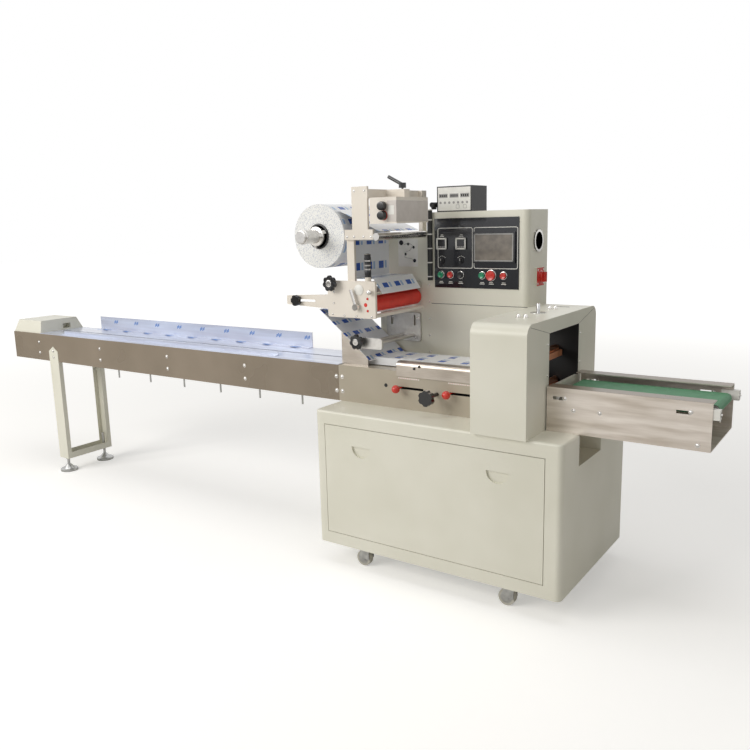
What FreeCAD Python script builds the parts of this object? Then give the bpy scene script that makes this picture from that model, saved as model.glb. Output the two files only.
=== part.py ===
import FreeCAD, Part
import os
import re
import Sketcher

from FreeCAD import Rotation, Vector

# Horizontal flow wrapper: an infeed conveyor with pusher fingers, a film unit that feeds and folds
# the web, a rotary end sealer under a cover, and a short belt conveyor at the discharge.
# Millimetres. +X is the way the product travels, +Y points to the back, +Z is up.
# The origin is on the floor, under the middle of the whole machine.

# ---------------------------------------------------------------- driving sizes

SIZES = {
    # overall layout, counted from the cabinet's left side and front face
    "InfeedReach": 2504,
    "DischargeReach": 436,
    "TensionerReach": 22,
    "HousingOverhang": 18,
    "LineOffset": 331,
    # cabinet
    "CabinetWidth": 1080,
    "CabinetDepth": 700,
    "CabinetHeight": 579,
    "CabinetClearance": 95,
    "CabinetCorner": 22,
    "CabinetTopRound": 9,
    "PanelLeft": 50,
    "PanelBottom": 53,
    "PanelWidth": 964,
    "PanelHeight": 468,
    "PanelThickness": 16,
    "PanelGap": 2.5,
    "PullRadius": 45,
    "PullDepth": 9,
    "PullInset": 180,
    "PullDrop": 76,
    "NotchFront": 158,
    "NotchLength": 237,
    "NotchReach": 120,
    "NotchDepth": 118,
    # casters
    "CasterInsetX": 210,
    "CasterInsetY": 66,
    "CasterPlateX": 84,
    "CasterPlateY": 66,
    "CasterPlateThickness": 4,
    "CasterWheelRadius": 33,
    "CasterWheelWidth": 24,
    "CasterTrail": 20,
    "CasterCheek": 3,
    "CasterCrownRadius": 24,
    "CasterCrownThickness": 8,
    "KingPinRadius": 6,
    "AxleRadius": 5,
    "RunningGap": 0.3,
    "CasterGap": 1.2,
    "CheekGap": 4,
    # deck frame on the cabinet, and the conveyor beam left of it
    "DeckLeft": -5,
    "BeamHeight": 158,
    "BeamWidth": 302,
    "SheetThickness": 3,
    "BeamLip": 22,
    "BeamTieHeight": 60,
    "BeamTieLength": 40,
    "TableSlot": 16,
    "TableLift": 3,
    "GuardHeight": 75,
    "GuardLeft": -2050,
    "GuardLength": 1660,
    "GuardFoot": 34,
    "GuideHeight": 18,
    "BracketX": -140,
    "BracketHeight": 150,
    # pusher chain
    "SprocketRadius": 46,
    "ChainThickness": 12,
    "ChainWidth": 18,
    "ChainMargin": 90,
    "ChainTop": 20,
    "FingerPitch": 275,
    "FirstFinger": -1720,
    "FingerCount": 6,
    "FingerRadius": 4.5,
    "FingerDrop": 96,
    "LugLength": 36,
    "LugHeight": 14,
    # tail cover
    "TailLength": 274,
    "TailHeight": 73,
    "TailMargin": 6,
    "TailEndSlope": 46,
    "TailFrontSlope": 10,
    "TailBackSlope": 42,
    "TailSlotWidth": 52,
    "TailSlotHeight": 30,
    "TailSlotDepth": 40,
    # leg frame
    "LegX": -2152,
    "LegWidth": 84,
    "LegFlange": 26,
    "LegBottom": 82,
    "TongueHeight": 88,
    "TongueShoulder": 60,
    "CrossbarHeight": 36,
    "FootRadius": 50,
    "FootHeight": 14,
    "FootHubRadius": 14,
    "FootHubHeight": 24,
    "StemRadius": 8,
    "StemRise": 92,
    # end-seal housing
    "HousingOffset": 735,
    "HousingWidth": 216,
    "HousingDepth": 695,
    "HousingHeight": 405,
    "HousingShoulder": 42,
    "HousingWall": 14,
    "TunnelBottom": 150,
    "TunnelHeight": 203,
    "TunnelWidth": 300,
    # end-seal jaws
    "SealHeight": 178,
    "JawSpread": 65,
    "JawGap": 8,
    "JawShaftRadius": 15,
    "JawLength": 200,
    "JawWidth": 24,
    "JawShaftLength": 440,
    "JawHolder": 34,
    "BladeDepth": 14,
    "JawJournal": 30,
    # tower and control box
    "TowerSetback": 484,
    "TowerWidth": 449,
    "TowerDepth": 194,
    "ControlHeight": 389,
    "ControlCorner": 24,
    "PanelPlateLeft": 19,
    "PanelPlateBottom": 71,
    "PanelPlateWidth": 390,
    "PanelPlateHeight": 291,
    "PanelPlateThickness": 3,
    "ScreenWidth": 190,
    "ScreenHeight": 127,
    "ScreenLeft": 186,
    "ScreenBottom": 106,
    "ControllerSide": 48,
    "ControllerLeft": 14,
    "ControllerPitch": 92,
    "ControllerBottom": 162,
    "BezelThickness": 7,
    "ButtonRadius": 13,
    "ButtonThickness": 7,
    "ButtonTravel": 3,
    "ButtonRow": 55,
    "ButtonStemRadius": 4,
    "ButtonStemLength": 14,
    "StopRadius": 20,
    "StopThickness": 10,
    "SelectorRadius": 11,
    "SelectorRow": 114,
    "SelectorAcross": 37,
    "StopAcross": 268,
    "SelectorLength": 12,
    "SwitchPlate": 74,
    "SwitchPlateThickness": 8,
    "SwitchRadius": 20,
    "SwitchLength": 26,
    "SwitchSetback": 106,
    "SwitchHeight": 117,
    "CounterWidth": 165,
    "CounterDepth": 140,
    "CounterHeight": 106,
    "CounterLeft": 20,
    "CounterSetback": 20,
    # film wall, feed unit and coder
    "WallLeft": 16,
    "WallHeight": 548,
    "ReelArmHeight": 90,
    "ReelArmThickness": 24,
    "ReelArmGrip": 60,
    "GuideBlock": 26,
    "GuideBlockDepth": 44,
    "GuideBlockReach": 14,
    "BoreDepth": 30,
    "FilmFront": 100,
    "PlateThickness": 12,
    "FeedLeft": 13,
    "FeedBottom": 220,
    "FeedWidth": 239,
    "FeedHeight": 150,
    "FeedCorner": 10,
    "ArmReach": 224,
    "ArmEndHeight": 38,
    "ArmRootHeight": 62,
    "ArmLevel": 282,
    "ArmSlotWidth": 11,
    "ArmSlotLength": 112,
    "ArmSlotX": -172,
    "SensorX": 211,
    "SensorRadius": 12.5,
    "SensorHeight": 108,
    "SensorSink": 8,
    "TieRadius": 9,
    "FeedRollerRadius": 33,
    "FeedRollerX": 204,
    "FeedRollerZ": 275,
    "NipRollerRadius": 20,
    "NipRollerX": 221,
    "NipGap": 1,
    "JournalRadius": 8,
    "RollerEndGap": 6,
    "CoderLeft": 149,
    "CoderPlateWidth": 75,
    "CoderFootWidth": 137,
    "CoderFootLeft": 110,
    "CoderFootBottom": 534,
    "CoderFootHeight": 40,
    "CoderPlateHeight": 166,
    "CoderPostDrop": 176,
    "RailX": 196,
    "RailBottom": 693,
    "RearPostWidth": 18,
    "RailWidth": 30,
    "RailHeight": 36,
    "CoderBoxLeft": 236,
    "CoderBoxWidth": 124,
    "CoderBoxDepth": 236,
    "CoderBoxHeight": 100,
    "CoderBoxBottom": 595,
    "ClampSetback": 130,
    "ClampDepth": 40,
    "ClampWidth": 89,
    "ClampHeight": 33,
    "DialRadius": 15,
    "DialLength": 24,
    "DialX": 301,
    "DialDrop": 33,
    "DialPitch": 36,
    "ClampLeverX": 294,
    "ClampLeverRise": 20,
    "ClampLeverHub": 15,
    "ClampLeverLength": 74,
    "ClampLeverTilt": 63,
    "GuideRollerRadius": 15,
    "GuideRollerX": 262,
    "GuideRollerZ": 545,
    "SidePostWidth": 36,
    "HandwheelRadius": 33,
    "HandwheelRim": 7,
    "HandwheelHub": 12,
    "HandwheelWidth": 14,
    "HandwheelStandoff": 20,
    "HandwheelX": 45,
    "HandwheelZ": 360,
    "StarRadius": 23,
    "StarWidth": 16,
    "StarX": -150,
    "CrankX": 166,
    "CrankZ": 266,
    "CrankRadius": 7,
    "CrankHub": 13,
    "CrankLength": 74,
    "CrankTilt": 19,
    "ReelX": -38,
    "ReelZ": 549,
    "ReelRadius": 131,
    "ReelWidth": 310,
    "ReelFront": 120,
    "CoreRadius": 52,
    "ReelShaftRadius": 30,
    "ReelShaftReach": 122,
    "ReelStub": 50,
    "ReelStubRadius": 15,
    # folding and fin seal
    "WebWidth": 294,
    "WebSetback": 36,
    "WebThickness": 1.2,
    "WebDropX": 102,
    "WebReturn": 138,
    "WebTopX": 50,
    "WebTopZ": 654,
    "WebGuideX": 254,
    "WebGuideZ": 564.5,
    "WebShelf": 376,
    "WebShelfEnd": 222,
    "WebNipX": 262,
    "WebNipZ": 318,
    "FormerWidth": 270,
    "FormerX": -112,
    "FormerZ": 235,
    "FormerTipX": 152,
    "FormerTipZ": 26,
    "TubeLeft": 60,
    "TubeWidth": 172,
    "TubeHeight": 32,
    "TubeLift": 4,
    "PloughTop": 150,
    "PloughTip": 42,
    "PloughInset": 12,
    "FinPlateX": 88,
    "FinPlateY": 190,
    "FinPlateZ": 79,
    "FinPlateWidth": 129,
    "FinPlateHeight": 46,
    "WallPlateX": 56,
    "WallPlateZ": 76,
    "WallPlateWidth": 178,
    "WallPlateHeight": 127,
    "FinRodRadius": 8,
    "FinRodX": 140,
    "FinRodPitch": 55,
    "FinRodZ": 103,
    "LowerWheelX": 106,
    "LowerWheelZ": 109,
    "WallSlotWidth": 10,
    "WallSlotHeight": 46,
    "WallSlotMargin": 24,
    # wiring loom
    "LoomRadius": 11,
    "LoomBottom": 348,
    "LoomClear": 12,
    "LoomRun": 20,
    "LoomSetX": 1,
    "BarCoverX": 297,
    "BarCoverHeight": 41,
    "BarCoverDepth": 36,
    "BarCoverLip": 20,
    # controls on the deck's front
    "SlotLength": 118,
    "SlotHeight": 10,
    "SlotDepth": 60,
    "LeverTravel": 100,
    "FirstSlotX": 303,
    "SecondSlotX": 537,
    "LeverHeight": 89,
    "LeverReach": 37,
    "LeverRodRadius": 4,
    "BallRadius": 17,
    "KnobX": 484,
    "KnobHeight": 79,
    "KnobRadius": 32,
    "KnobWidth": 22,
    "KnobReach": 93,
    "KnobShaftRadius": 8,
    # discharge conveyor
    "DischargeFront": 154,
    "DischargeBack": 508,
    "DischargeGap": 5,
    "DischargeHeight": 164,
    "DischargeLip": 58,
    "BeltWidth": 200,
    "BeltTop": 143,
    "BeltThickness": 2,
    "BeltRollerRadius": 16,
    "BeltStart": 22,
    "BeltEndInset": 11,
    "BeltShaftRadius": 6,
    "BeltSlotWidth": 12,
    "BeltSlotLength": 46,
    "BeltSlotLeft": 23,
    "BeltSlotRight": 447,
    "TensionerHeight": 34,
    "TensionerWidth": 22,
    "TensionerLength": 60,
    "PanThickness": 2,
}

# where the main pieces stand, worked out from the sizes above
PLACES = {
    "CabinetX": "(InfeedReach - CabinetWidth - DischargeReach - TensionerReach) / 2",
    "CabinetY": "(HousingOverhang - CabinetDepth) / 2",
    "DeckZ": "CabinetClearance + CabinetHeight",
    "TableZ": "DeckZ + BeamHeight",
    "LineY": "CabinetY + LineOffset",
    "BeamX": "CabinetX - InfeedReach",
    "BeamY": "LineY - BeamWidth / 2",
    "BeamLength": "InfeedReach + DeckLeft",
    "HousingX": "CabinetX + HousingOffset",
    "HousingY": "CabinetY - HousingOverhang",
    "SealZ": "DeckZ + SealHeight",
    "TowerX": "HousingX - TowerWidth",
    "TowerY": "CabinetY + TowerSetback",
    "TowerHeight": "HousingHeight - BeamHeight",
    "ControlZ": "DeckZ + HousingHeight",
    "PlateX": "TowerX + PanelPlateLeft",
    "PlateY": "TowerY - PanelPlateThickness",
    "PlateZ": "ControlZ + PanelPlateBottom",
    "WallX": "CabinetX + WallLeft",
    "WallWidth": "HousingOffset - TowerWidth - WallLeft",
    "FilmY": "CabinetY + FilmFront",
    "FilmSpan": "TowerSetback - FilmFront",
    "LoomTop": "HousingHeight - BeamHeight + ControlHeight + LoomClear",
    "NipRise": "sqrt((FeedRollerRadius + NipRollerRadius + NipGap)^2 - (NipRollerX - FeedRollerX)^2)",
    "DischargeX": "HousingX + HousingWidth + DischargeGap",
    "DischargeLength": "CabinetWidth + DischargeReach - HousingOffset - HousingWidth - DischargeGap",
    "BeltZ": "DeckZ + BeltTop",
}

# ---------------------------------------------------------------- document and helpers

doc = FreeCAD.newDocument("FlowWrapper")
pieces = []

SHEET_OF = {name: "Sizes" for name in SIZES}
SHEET_OF.update({name: "Places" for name in PLACES})
TURNS = {
    "X": Rotation(Vector(0, 1, 0), 90),
    "Y": Rotation(Vector(1, 0, 0), -90),
    "Z": Rotation(),
}


def linked(text):
    """Puts the sheet's name before every alias in a formula."""
    return re.sub(r"[A-Z]\w+", lambda word: SHEET_OF[word.group()] + "." + word.group(), str(text))


def make_sheets():
    sizes = doc.addObject("Spreadsheet::Sheet", "Sizes")
    for row, (name, number) in enumerate(SIZES.items(), start=1):
        sizes.set(f"A{row}", name)
        sizes.set(f"B{row}", str(number))
        sizes.setAlias(f"B{row}", name)
    places = doc.addObject("Spreadsheet::Sheet", "Places")
    for row, name in enumerate(PLACES, start=1):
        places.setAlias(f"B{row}", name)
    for row, (name, formula) in enumerate(PLACES.items(), start=1):
        text = re.sub(r"[A-Z]\w+", lambda word: own_alias(word.group()), formula)
        places.set(f"A{row}", name)
        places.set(f"B{row}", "=" + text)
    doc.recompute()


def own_alias(name):
    return name if name in PLACES else "Sizes." + name


def value(text):
    """The number that a formula gives now."""
    return float(doc.Sizes.evalExpression(linked(text)))


def bind(thing, **formulas):
    for name, formula in formulas.items():
        thing.setExpression(name, linked(formula))


def move(thing, x="0", y="0", z="0"):
    for axis, formula in zip("xyz", (x, y, z)):
        if str(formula) != "0":
            thing.setExpression("Placement.Base." + axis, linked(formula))
    return thing


def block(length, width, height, x="0", y="0", z="0"):
    box = doc.addObject("Part::Box", "Block")
    bind(box, Length=length, Width=width, Height=height)
    return move(box, x, y, z)


def rod(axis, radius, length, x="0", y="0", z="0"):
    """A round bar that starts at the given point and runs along an axis."""
    bar = doc.addObject("Part::Cylinder", "Rod")
    bar.Placement = FreeCAD.Placement(Vector(), TURNS[axis])
    bind(bar, Radius=radius, Height=length)
    return move(bar, x, y, z)


def cone(axis, radius, end_radius, length, x="0", y="0", z="0"):
    bar = doc.addObject("Part::Cone", "Cone")
    bar.Placement = FreeCAD.Placement(Vector(), TURNS[axis])
    bind(bar, Radius1=radius, Radius2=end_radius, Height=length)
    return move(bar, x, y, z)


def ball(radius, x="0", y="0", z="0"):
    sphere = doc.addObject("Part::Sphere", "Ball")
    bind(sphere, Radius=radius)
    return move(sphere, x, y, z)


def fuse(*shapes):
    if len(shapes) == 1:
        return shapes[0]
    joined = doc.addObject("Part::MultiFuse", "Fuse")
    joined.Shapes = list(shapes)
    return joined


def cut(base, *tools):
    rest = doc.addObject("Part::Cut", "Cut")
    rest.Base = base
    rest.Tool = fuse(*tools)
    return rest


def common(first, second):
    overlap = doc.addObject("Part::MultiCommon", "Common")
    overlap.Shapes = [first, second]
    return overlap


def group(*shapes):
    """Like pieces on one body, which don't touch."""
    together = doc.addObject("Part::Compound", "Group")
    together.Links = list(shapes)
    return together


def piece(shape, label, x="0", y="0", z="0"):
    """Names a finished sub-part and gives it its place."""
    shape.Label = label
    move(shape, x, y, z)
    pieces.append(shape)
    return shape


# ---------------------------------------------------------------- sketched bodies

def plane_of(body, role):
    for feature in body.Origin.OriginFeatures:
        if feature.Role == role:
            return feature


def outline(body, role, corners):
    """A closed sketch of straight lines, whose corners are held by formulas."""
    sketch = body.newObject("Sketcher::SketchObject", "Outline")
    sketch.AttachmentSupport = (plane_of(body, role), [""])
    sketch.MapMode = "FlatFace"
    points = [Vector(value(x), value(y), 0) for x, y in corners]
    count = len(points)
    for index in range(count):
        line = Part.LineSegment(points[index], points[(index + 1) % count])
        sketch.addGeometry(line, False)
    for index in range(count):
        sketch.addConstraint(Sketcher.Constraint("Coincident", index, 2, (index + 1) % count, 1))
    for index, (x, y) in enumerate(corners):
        hold(sketch, index, "X", x, points[index].x)
        hold(sketch, index, "Y", y, points[index].y)
    return sketch


def hold(sketch, index, direction, formula, number):
    """Ties one coordinate of a line's start point to a formula."""
    if str(formula) == "0":
        axis = -2 if direction == "X" else -1
        sketch.addConstraint(Sketcher.Constraint("PointOnObject", index, 1, axis))
        return
    kind = "Distance" + direction
    name = f"{direction}{index}"
    number_of = sketch.addConstraint(Sketcher.Constraint(kind, -1, 1, index, 1, number))
    sketch.renameConstraint(number_of, name)
    sketch.setExpression("Constraints." + name, linked(formula))


def rectangle(width, height, x="0", y="0"):
    right = width if str(x) == "0" else f"{x} + {width}"
    top = height if str(y) == "0" else f"{y} + {height}"
    return [(x, y), (right, y), (right, top), (x, top)]


def extrude(name, role, corners, length):
    """A body padded from a sketch, towards +X, +Y or +Z."""
    body = doc.addObject("PartDesign::Body", name)
    sketch = outline(body, role, corners)
    pad = body.newObject("PartDesign::Pad", "Pad")
    pad.Profile = sketch
    pad.Reversed = role == "XZ_Plane"
    bind(pad, Length=length)
    doc.recompute()
    return body


def round_edges(body, radius, chosen):
    """Rounds the body's edges that the test picks."""
    last = body.Tip
    names = [f"Edge{n}" for n, edge in enumerate(last.Shape.Edges, start=1) if chosen(edge)]
    fillet = body.newObject("PartDesign::Fillet", "Round")
    fillet.Base = (last, names)
    bind(fillet, Radius=radius)
    doc.recompute()
    return body


def runs_along(edge, axis):
    start, end = edge.Vertexes[0].Point, edge.Vertexes[-1].Point
    step = end - start
    others = [name for name in "xyz" if name != axis]
    return all(abs(getattr(step, name)) < 1e-6 for name in others) and step.Length > 1e-6


def level(edge, axis, height):
    return all(abs(getattr(corner.Point, axis) - height) < 1e-6 for corner in edge.Vertexes)


# ---------------------------------------------------------------- cabinet and casters

def make_cabinet():
    shell = extrude("CabinetShell", "XY_Plane", rectangle("CabinetWidth", "CabinetDepth"), "CabinetHeight")
    round_edges(shell, "CabinetCorner", lambda edge: runs_along(edge, "z"))
    top = value("CabinetHeight")
    round_edges(shell, "CabinetTopRound", lambda edge: level(edge, "z", top))
    recess = block("PanelWidth + 2 * PanelGap", "PanelThickness", "PanelHeight + 2 * PanelGap",
                   "PanelLeft - PanelGap", "0", "PanelBottom - PanelGap")
    notch = block("NotchReach", "NotchLength", "NotchDepth",
                  "CabinetWidth - NotchReach", "NotchFront", "CabinetHeight - NotchDepth")
    housing = cut(shell, recess, notch)
    plates = []
    for x, y in caster_places():
        plates.append(block("CasterPlateX", "CasterPlateY", "CasterPlateThickness",
                            f"{x} - CasterPlateX / 2", f"{y} - CasterPlateY / 2", "-CasterPlateThickness"))
    bores = [rod("Z", "KingPinRadius + RunningGap", "CasterPlateThickness + CasterCrownThickness",
                 x, y, "-CasterPlateThickness") for x, y in caster_places()]
    piece(cut(fuse(housing, *plates), *bores), "cabinet_body", "CabinetX", "CabinetY", "CabinetClearance")


def caster_places():
    near_x, far_x = "CasterInsetX", "CabinetWidth - CasterInsetX"
    near_y, far_y = "CasterInsetY", "CabinetDepth - CasterInsetY"
    return [(near_x, near_y), (far_x, near_y), (near_x, far_y), (far_x, far_y)]


def make_front_panel():
    panel = block("PanelWidth", "PanelThickness", "PanelHeight")
    scoops = []
    for x in ("PullInset", "PanelWidth - PullInset"):
        disc = rod("Y", "PullRadius", "PullDepth", x, "0", "PanelHeight - PullDrop")
        lower = block("2 * PullRadius", "PullDepth", "PullRadius",
                      f"{x} - PullRadius", "0", "PanelHeight - PullDrop - PullRadius")
        scoops.append(common(disc, lower))
    piece(cut(panel, *scoops), "cabinet_front_panel",
          "CabinetX + PanelLeft", "CabinetY", "CabinetClearance + PanelBottom")


def make_casters():
    for number, (x, y) in enumerate(caster_places(), start=1):
        make_caster(number, f"CabinetX + {x}", f"CabinetY + {y}")


def make_caster(number, x, y):
    """The fork turns on the kingpin; the wheel turns on the axle, which trails behind it."""
    crown_top = "CabinetClearance - CasterPlateThickness - CasterGap"
    crown_bottom = f"{crown_top} - CasterCrownThickness"
    cheek_top = f"{crown_bottom}"
    half_gap = "CasterWheelWidth / 2 + CheekGap"
    crown = rod("Z", "CasterCrownRadius", "CasterCrownThickness", "0", "0", crown_bottom)
    bridge = block("CasterTrail + CasterCrownRadius", f"2 * ({half_gap} + CasterCheek)", "CasterCrownThickness",
                   "-CasterTrail - CasterCrownRadius / 2", f"-({half_gap} + CasterCheek)", crown_bottom)
    pin = rod("Z", "KingPinRadius", "CasterPlateThickness + CasterGap", "0", "0", crown_top)
    cheeks = []
    for start in (f"-({half_gap} + CasterCheek)", half_gap):
        plate = block("CasterCrownRadius + CasterTrail", "CasterCheek", f"{cheek_top} - CasterWheelRadius",
                      "-CasterTrail - CasterCrownRadius / 2", start, "CasterWheelRadius")
        eye = rod("Y", "CasterCrownRadius / 2", "CasterCheek", "-CasterTrail", start, "CasterWheelRadius")
        cheeks += [plate, eye]
    axle = rod("Y", "AxleRadius", f"2 * ({half_gap} + CasterCheek)",
               "-CasterTrail", f"-({half_gap} + CasterCheek)", "CasterWheelRadius")
    fork = fuse(crown, bridge, pin, axle, *cheeks)
    piece(fork, f"caster_fork_{number}", x, y)
    tread = rod("Y", "CasterWheelRadius", "CasterWheelWidth", "0", "-CasterWheelWidth / 2")
    hub = rod("Y", "AxleRadius * 2", "CasterWheelWidth + CheekGap", "0", "-(CasterWheelWidth + CheekGap) / 2")
    bore = rod("Y", "AxleRadius + RunningGap", "CasterWheelWidth + 2 * CheekGap",
               "0", "-CasterWheelWidth / 2 - CheekGap")
    piece(cut(fuse(tread, hub), bore), f"caster_wheel_{number}",
          f"{x} - CasterTrail", y, "CasterWheelRadius")


# ---------------------------------------------------------------- conveyor beam

def channel(length, y, lip_y):
    """One side plate with its top and bottom lips turned inwards."""
    return [
        block(length, "SheetThickness", "BeamHeight", "0", y, "0"),
        block(length, "BeamLip", "SheetThickness", "0", lip_y, "0"),
        block(length, "BeamLip", "SheetThickness", "0", lip_y, "BeamHeight - SheetThickness"),
    ]


def make_beam():
    front = channel("BeamLength", "0", "0")
    back = channel("BeamLength", "BeamWidth - SheetThickness", "BeamWidth - BeamLip")
    end = block("SheetThickness", "BeamWidth", "BeamHeight - 2 * SheetThickness", "0", "0", "SheetThickness")
    ties = []
    for x in ("LegX - BeamX + CabinetX + LegWidth / 2 - BeamTieLength / 2", "BeamLength / 2",
              "BeamLength - 3 * BeamTieLength / 2"):
        ties.append(block("BeamTieLength", "BeamWidth", "BeamTieHeight / 2", x, "0", "BeamTieHeight"))
    piece(fuse(*front, *back, end, *ties), "infeed_side_plates", "BeamX", "BeamY", "DeckZ")


def make_table():
    length = "BeamLength - TailLength"
    width = "(BeamWidth - TableSlot) / 2"
    front = block(length, width, "TableLift")
    back = block(length, width, "TableLift", "0", "BeamWidth - (BeamWidth - TableSlot) / 2")
    piece(group(front, back), "infeed_table_plates", "BeamX + TailLength", "BeamY", "TableZ")


def make_guides():
    back_y = "BeamWidth - SheetThickness"
    wall = block("GuardLength", "SheetThickness", "GuardHeight", "0", back_y)
    foot = block("GuardLength", "GuardFoot", "SheetThickness", "0", "BeamWidth - GuardFoot")
    rail = block("GuardLength", "SheetThickness", "GuideHeight", "0", "BeamLip * 2")
    rail_foot = block("GuardLength", "BeamLip", "SheetThickness", "0", "BeamLip + SheetThickness")
    x = "BracketX - GuardLeft"
    y = "BeamWidth - GuardFoot"
    post = block("BeamLip", "SheetThickness", "BracketHeight", x, y)
    arm = block("BeamLip * 2", "BeamLip * 3", "SheetThickness", f"{x} - BeamLip", f"{y} - BeamLip * 3",
                "BracketHeight - SheetThickness")
    pad = block("BeamLip", "BeamLip", "BeamLip", f"{x} - BeamLip / 2", f"{y} - BeamLip * 2",
                "BracketHeight - BeamLip")
    base = block("BeamLip * 2", "GuardFoot", "SheetThickness", f"{x} - BeamLip / 2", y)
    piece(group(fuse(wall, foot), fuse(rail, rail_foot), fuse(post, arm, pad, base)), "guide_rails",
          "CabinetX + GuardLeft", "BeamY", "TableZ + TableLift")


def make_chain():
    """A closed loop round two sprockets, with pusher fingers on its lower run."""
    inner = "SprocketRadius"
    outer = "SprocketRadius + ChainThickness"
    run = "BeamLength - 2 * ChainMargin - 2 * SprocketRadius"

    def stadium(radius, width, y):
        ends = [rod("Y", radius, width, x, y, "0") for x in ("0", run)]
        return fuse(block(run, width, f"2 * ({radius})", "0", y, f"-({radius})"), *ends)

    loop = cut(stadium(outer, "ChainWidth", "-ChainWidth / 2"), stadium(inner, "ChainWidth", "-ChainWidth / 2"))
    fingers = []
    for number in range(int(value("FingerCount"))):
        x = f"FirstFinger - BeamX + CabinetX - ChainMargin - SprocketRadius + {number} * FingerPitch"
        lug = block("LugLength", "ChainWidth", "LugHeight", f"{x} - LugLength / 2", "-ChainWidth / 2",
                    f"-({outer}) - LugHeight")
        pin = rod("Z", "FingerRadius", "FingerDrop", x, "0", f"-({outer}) - LugHeight - FingerDrop")
        fingers += [lug, pin]
    piece(fuse(loop, *fingers), "pusher_chain", "BeamX + ChainMargin + SprocketRadius", "LineY",
          "TableZ - ChainTop - SprocketRadius - ChainThickness")
    sprockets = [rod("Y", "SprocketRadius", "ChainWidth", x, "-ChainWidth / 2", "0") for x in ("0", run)]
    shafts = [rod("Y", "StemRadius", "BeamWidth - 2 * SheetThickness", x,
                  "SheetThickness - BeamWidth / 2", "0") for x in ("0", run)]
    piece(group(fuse(sprockets[0], shafts[0]), fuse(sprockets[1], shafts[1])), "chain_sprockets",
          "BeamX + ChainMargin + SprocketRadius", "LineY",
          "TableZ - ChainTop - SprocketRadius - ChainThickness")


def make_tail_cover():
    """A folded hood whose left end and long sides lean in."""
    width = "BeamWidth - 2 * TailMargin"
    hood = doc.addObject("Part::Wedge", "Hood")
    bind(hood, Xmin="0", Xmax="TailLength", X2min="TailEndSlope", X2max="TailLength",
         Ymin="0", Ymax="TailHeight",
         Zmin="0", Zmax=width, Z2min="TailBackSlope", Z2max=f"{width} - TailFrontSlope")
    hood.Placement = FreeCAD.Placement(Vector(), Rotation(Vector(1, 0, 0), 90))
    move(hood, "0", width, "0")
    slot = block("TailSlotDepth", "TailSlotWidth", "TailSlotHeight",
                 "TailLength - TailSlotDepth", "BeamWidth / 2", "TailMargin * 2")
    piece(cut(hood, slot), "tail_cover", "BeamX", "BeamY + TailMargin", "TableZ")


def make_legs():
    """Two folded channels, open to each other, with a pointed tongue up the beam's side."""
    shoulder = "DeckZ - LegBottom + TongueShoulder"
    tip = "DeckZ - LegBottom + TongueHeight"
    corners = [("0", "0"), ("LegWidth", "0"), ("LegWidth", shoulder), ("LegWidth / 2", tip), ("0", shoulder)]
    front = extrude("FrontLegWeb", "XZ_Plane", corners, "SheetThickness")
    back = extrude("BackLegWeb", "XZ_Plane", corners, "SheetThickness")
    move(back, "0", "BeamWidth + SheetThickness")
    sides = []
    for x in ("0", "LegWidth - SheetThickness"):
        for y in ("0", "BeamWidth + 2 * SheetThickness - LegFlange"):
            sides.append(block("SheetThickness", "LegFlange", "DeckZ - LegBottom", x, y))
    bar = [
        block("LegWidth", "BeamWidth", "SheetThickness", "0", "SheetThickness"),
        block("SheetThickness", "BeamWidth", "CrossbarHeight", "LegWidth - SheetThickness", "SheetThickness"),
        block("SheetThickness", "BeamWidth", "CrossbarHeight", "0", "SheetThickness"),
    ]
    frame = fuse(front, back, *sides, *bar)
    holes = [rod("Z", "StemRadius", "3 * SheetThickness", "LegWidth / 2", y, "-SheetThickness")
             for y in foot_rows()]
    piece(cut(frame, *holes), "leg_frame", "CabinetX + LegX", "BeamY - SheetThickness", "LegBottom")


def foot_rows():
    return ["LegFlange", "BeamWidth + 2 * SheetThickness - LegFlange"]


def make_feet():
    feet = []
    for y in foot_rows():
        pad = rod("Z", "FootRadius", "FootHeight", "0", y)
        bell = cone("Z", "FootRadius * 0.7", "FootHubRadius", "FootHubHeight", "0", y, "FootHeight")
        stem = rod("Z", "StemRadius", "LegBottom + StemRise - FootHeight", "0", y, "FootHeight")
        feet.append(fuse(pad, bell, stem))
    piece(group(*feet), "levelling_feet", "CabinetX + LegX + LegWidth / 2", "BeamY - SheetThickness")


# ---------------------------------------------------------------- end sealer

def make_housing():
    """A hollow cover over the sealing jaws, open where the wrapped product passes."""
    shell = extrude("HousingShell", "XY_Plane", rectangle("HousingWidth", "HousingDepth"), "HousingHeight")
    top = value("HousingHeight")
    depth = value("HousingDepth")

    def shoulder(edge):
        return runs_along(edge, "x") and level(edge, "z", top)

    round_edges(shell, "HousingShoulder", lambda edge: shoulder(edge) and (
        level(edge, "y", 0) or level(edge, "y", depth)))
    cavity = block("HousingWidth - 2 * HousingWall", "JawShaftLength - 2 * JawJournal",
                   "HousingHeight - HousingWall * 2", "HousingWall",
                   "LineOffset + HousingOverhang - JawShaftLength / 2 + JawJournal", "HousingWall")
    tunnel = block("HousingWidth", "TunnelWidth", "TunnelHeight", "0",
                   "LineOffset + HousingOverhang - TunnelWidth / 2", "TunnelBottom")
    bores = [rod("Y", "JawShaftRadius * 0.7 + RunningGap", "HousingDepth", "HousingWidth / 2", "0",
                 f"SealHeight {side} JawSpread") for side in "+-"]
    inner = block("HousingWidth", "JawShaftLength + 2 * CheekGap", "HousingHeight",
                  "0", "LineOffset + HousingOverhang - JawShaftLength / 2 - CheekGap")
    pockets = [common(bore, inner) for bore in bores]
    piece(cut(shell, cavity, tunnel, *pockets), "end_seal_housing", "HousingX", "HousingY", "DeckZ")


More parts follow.
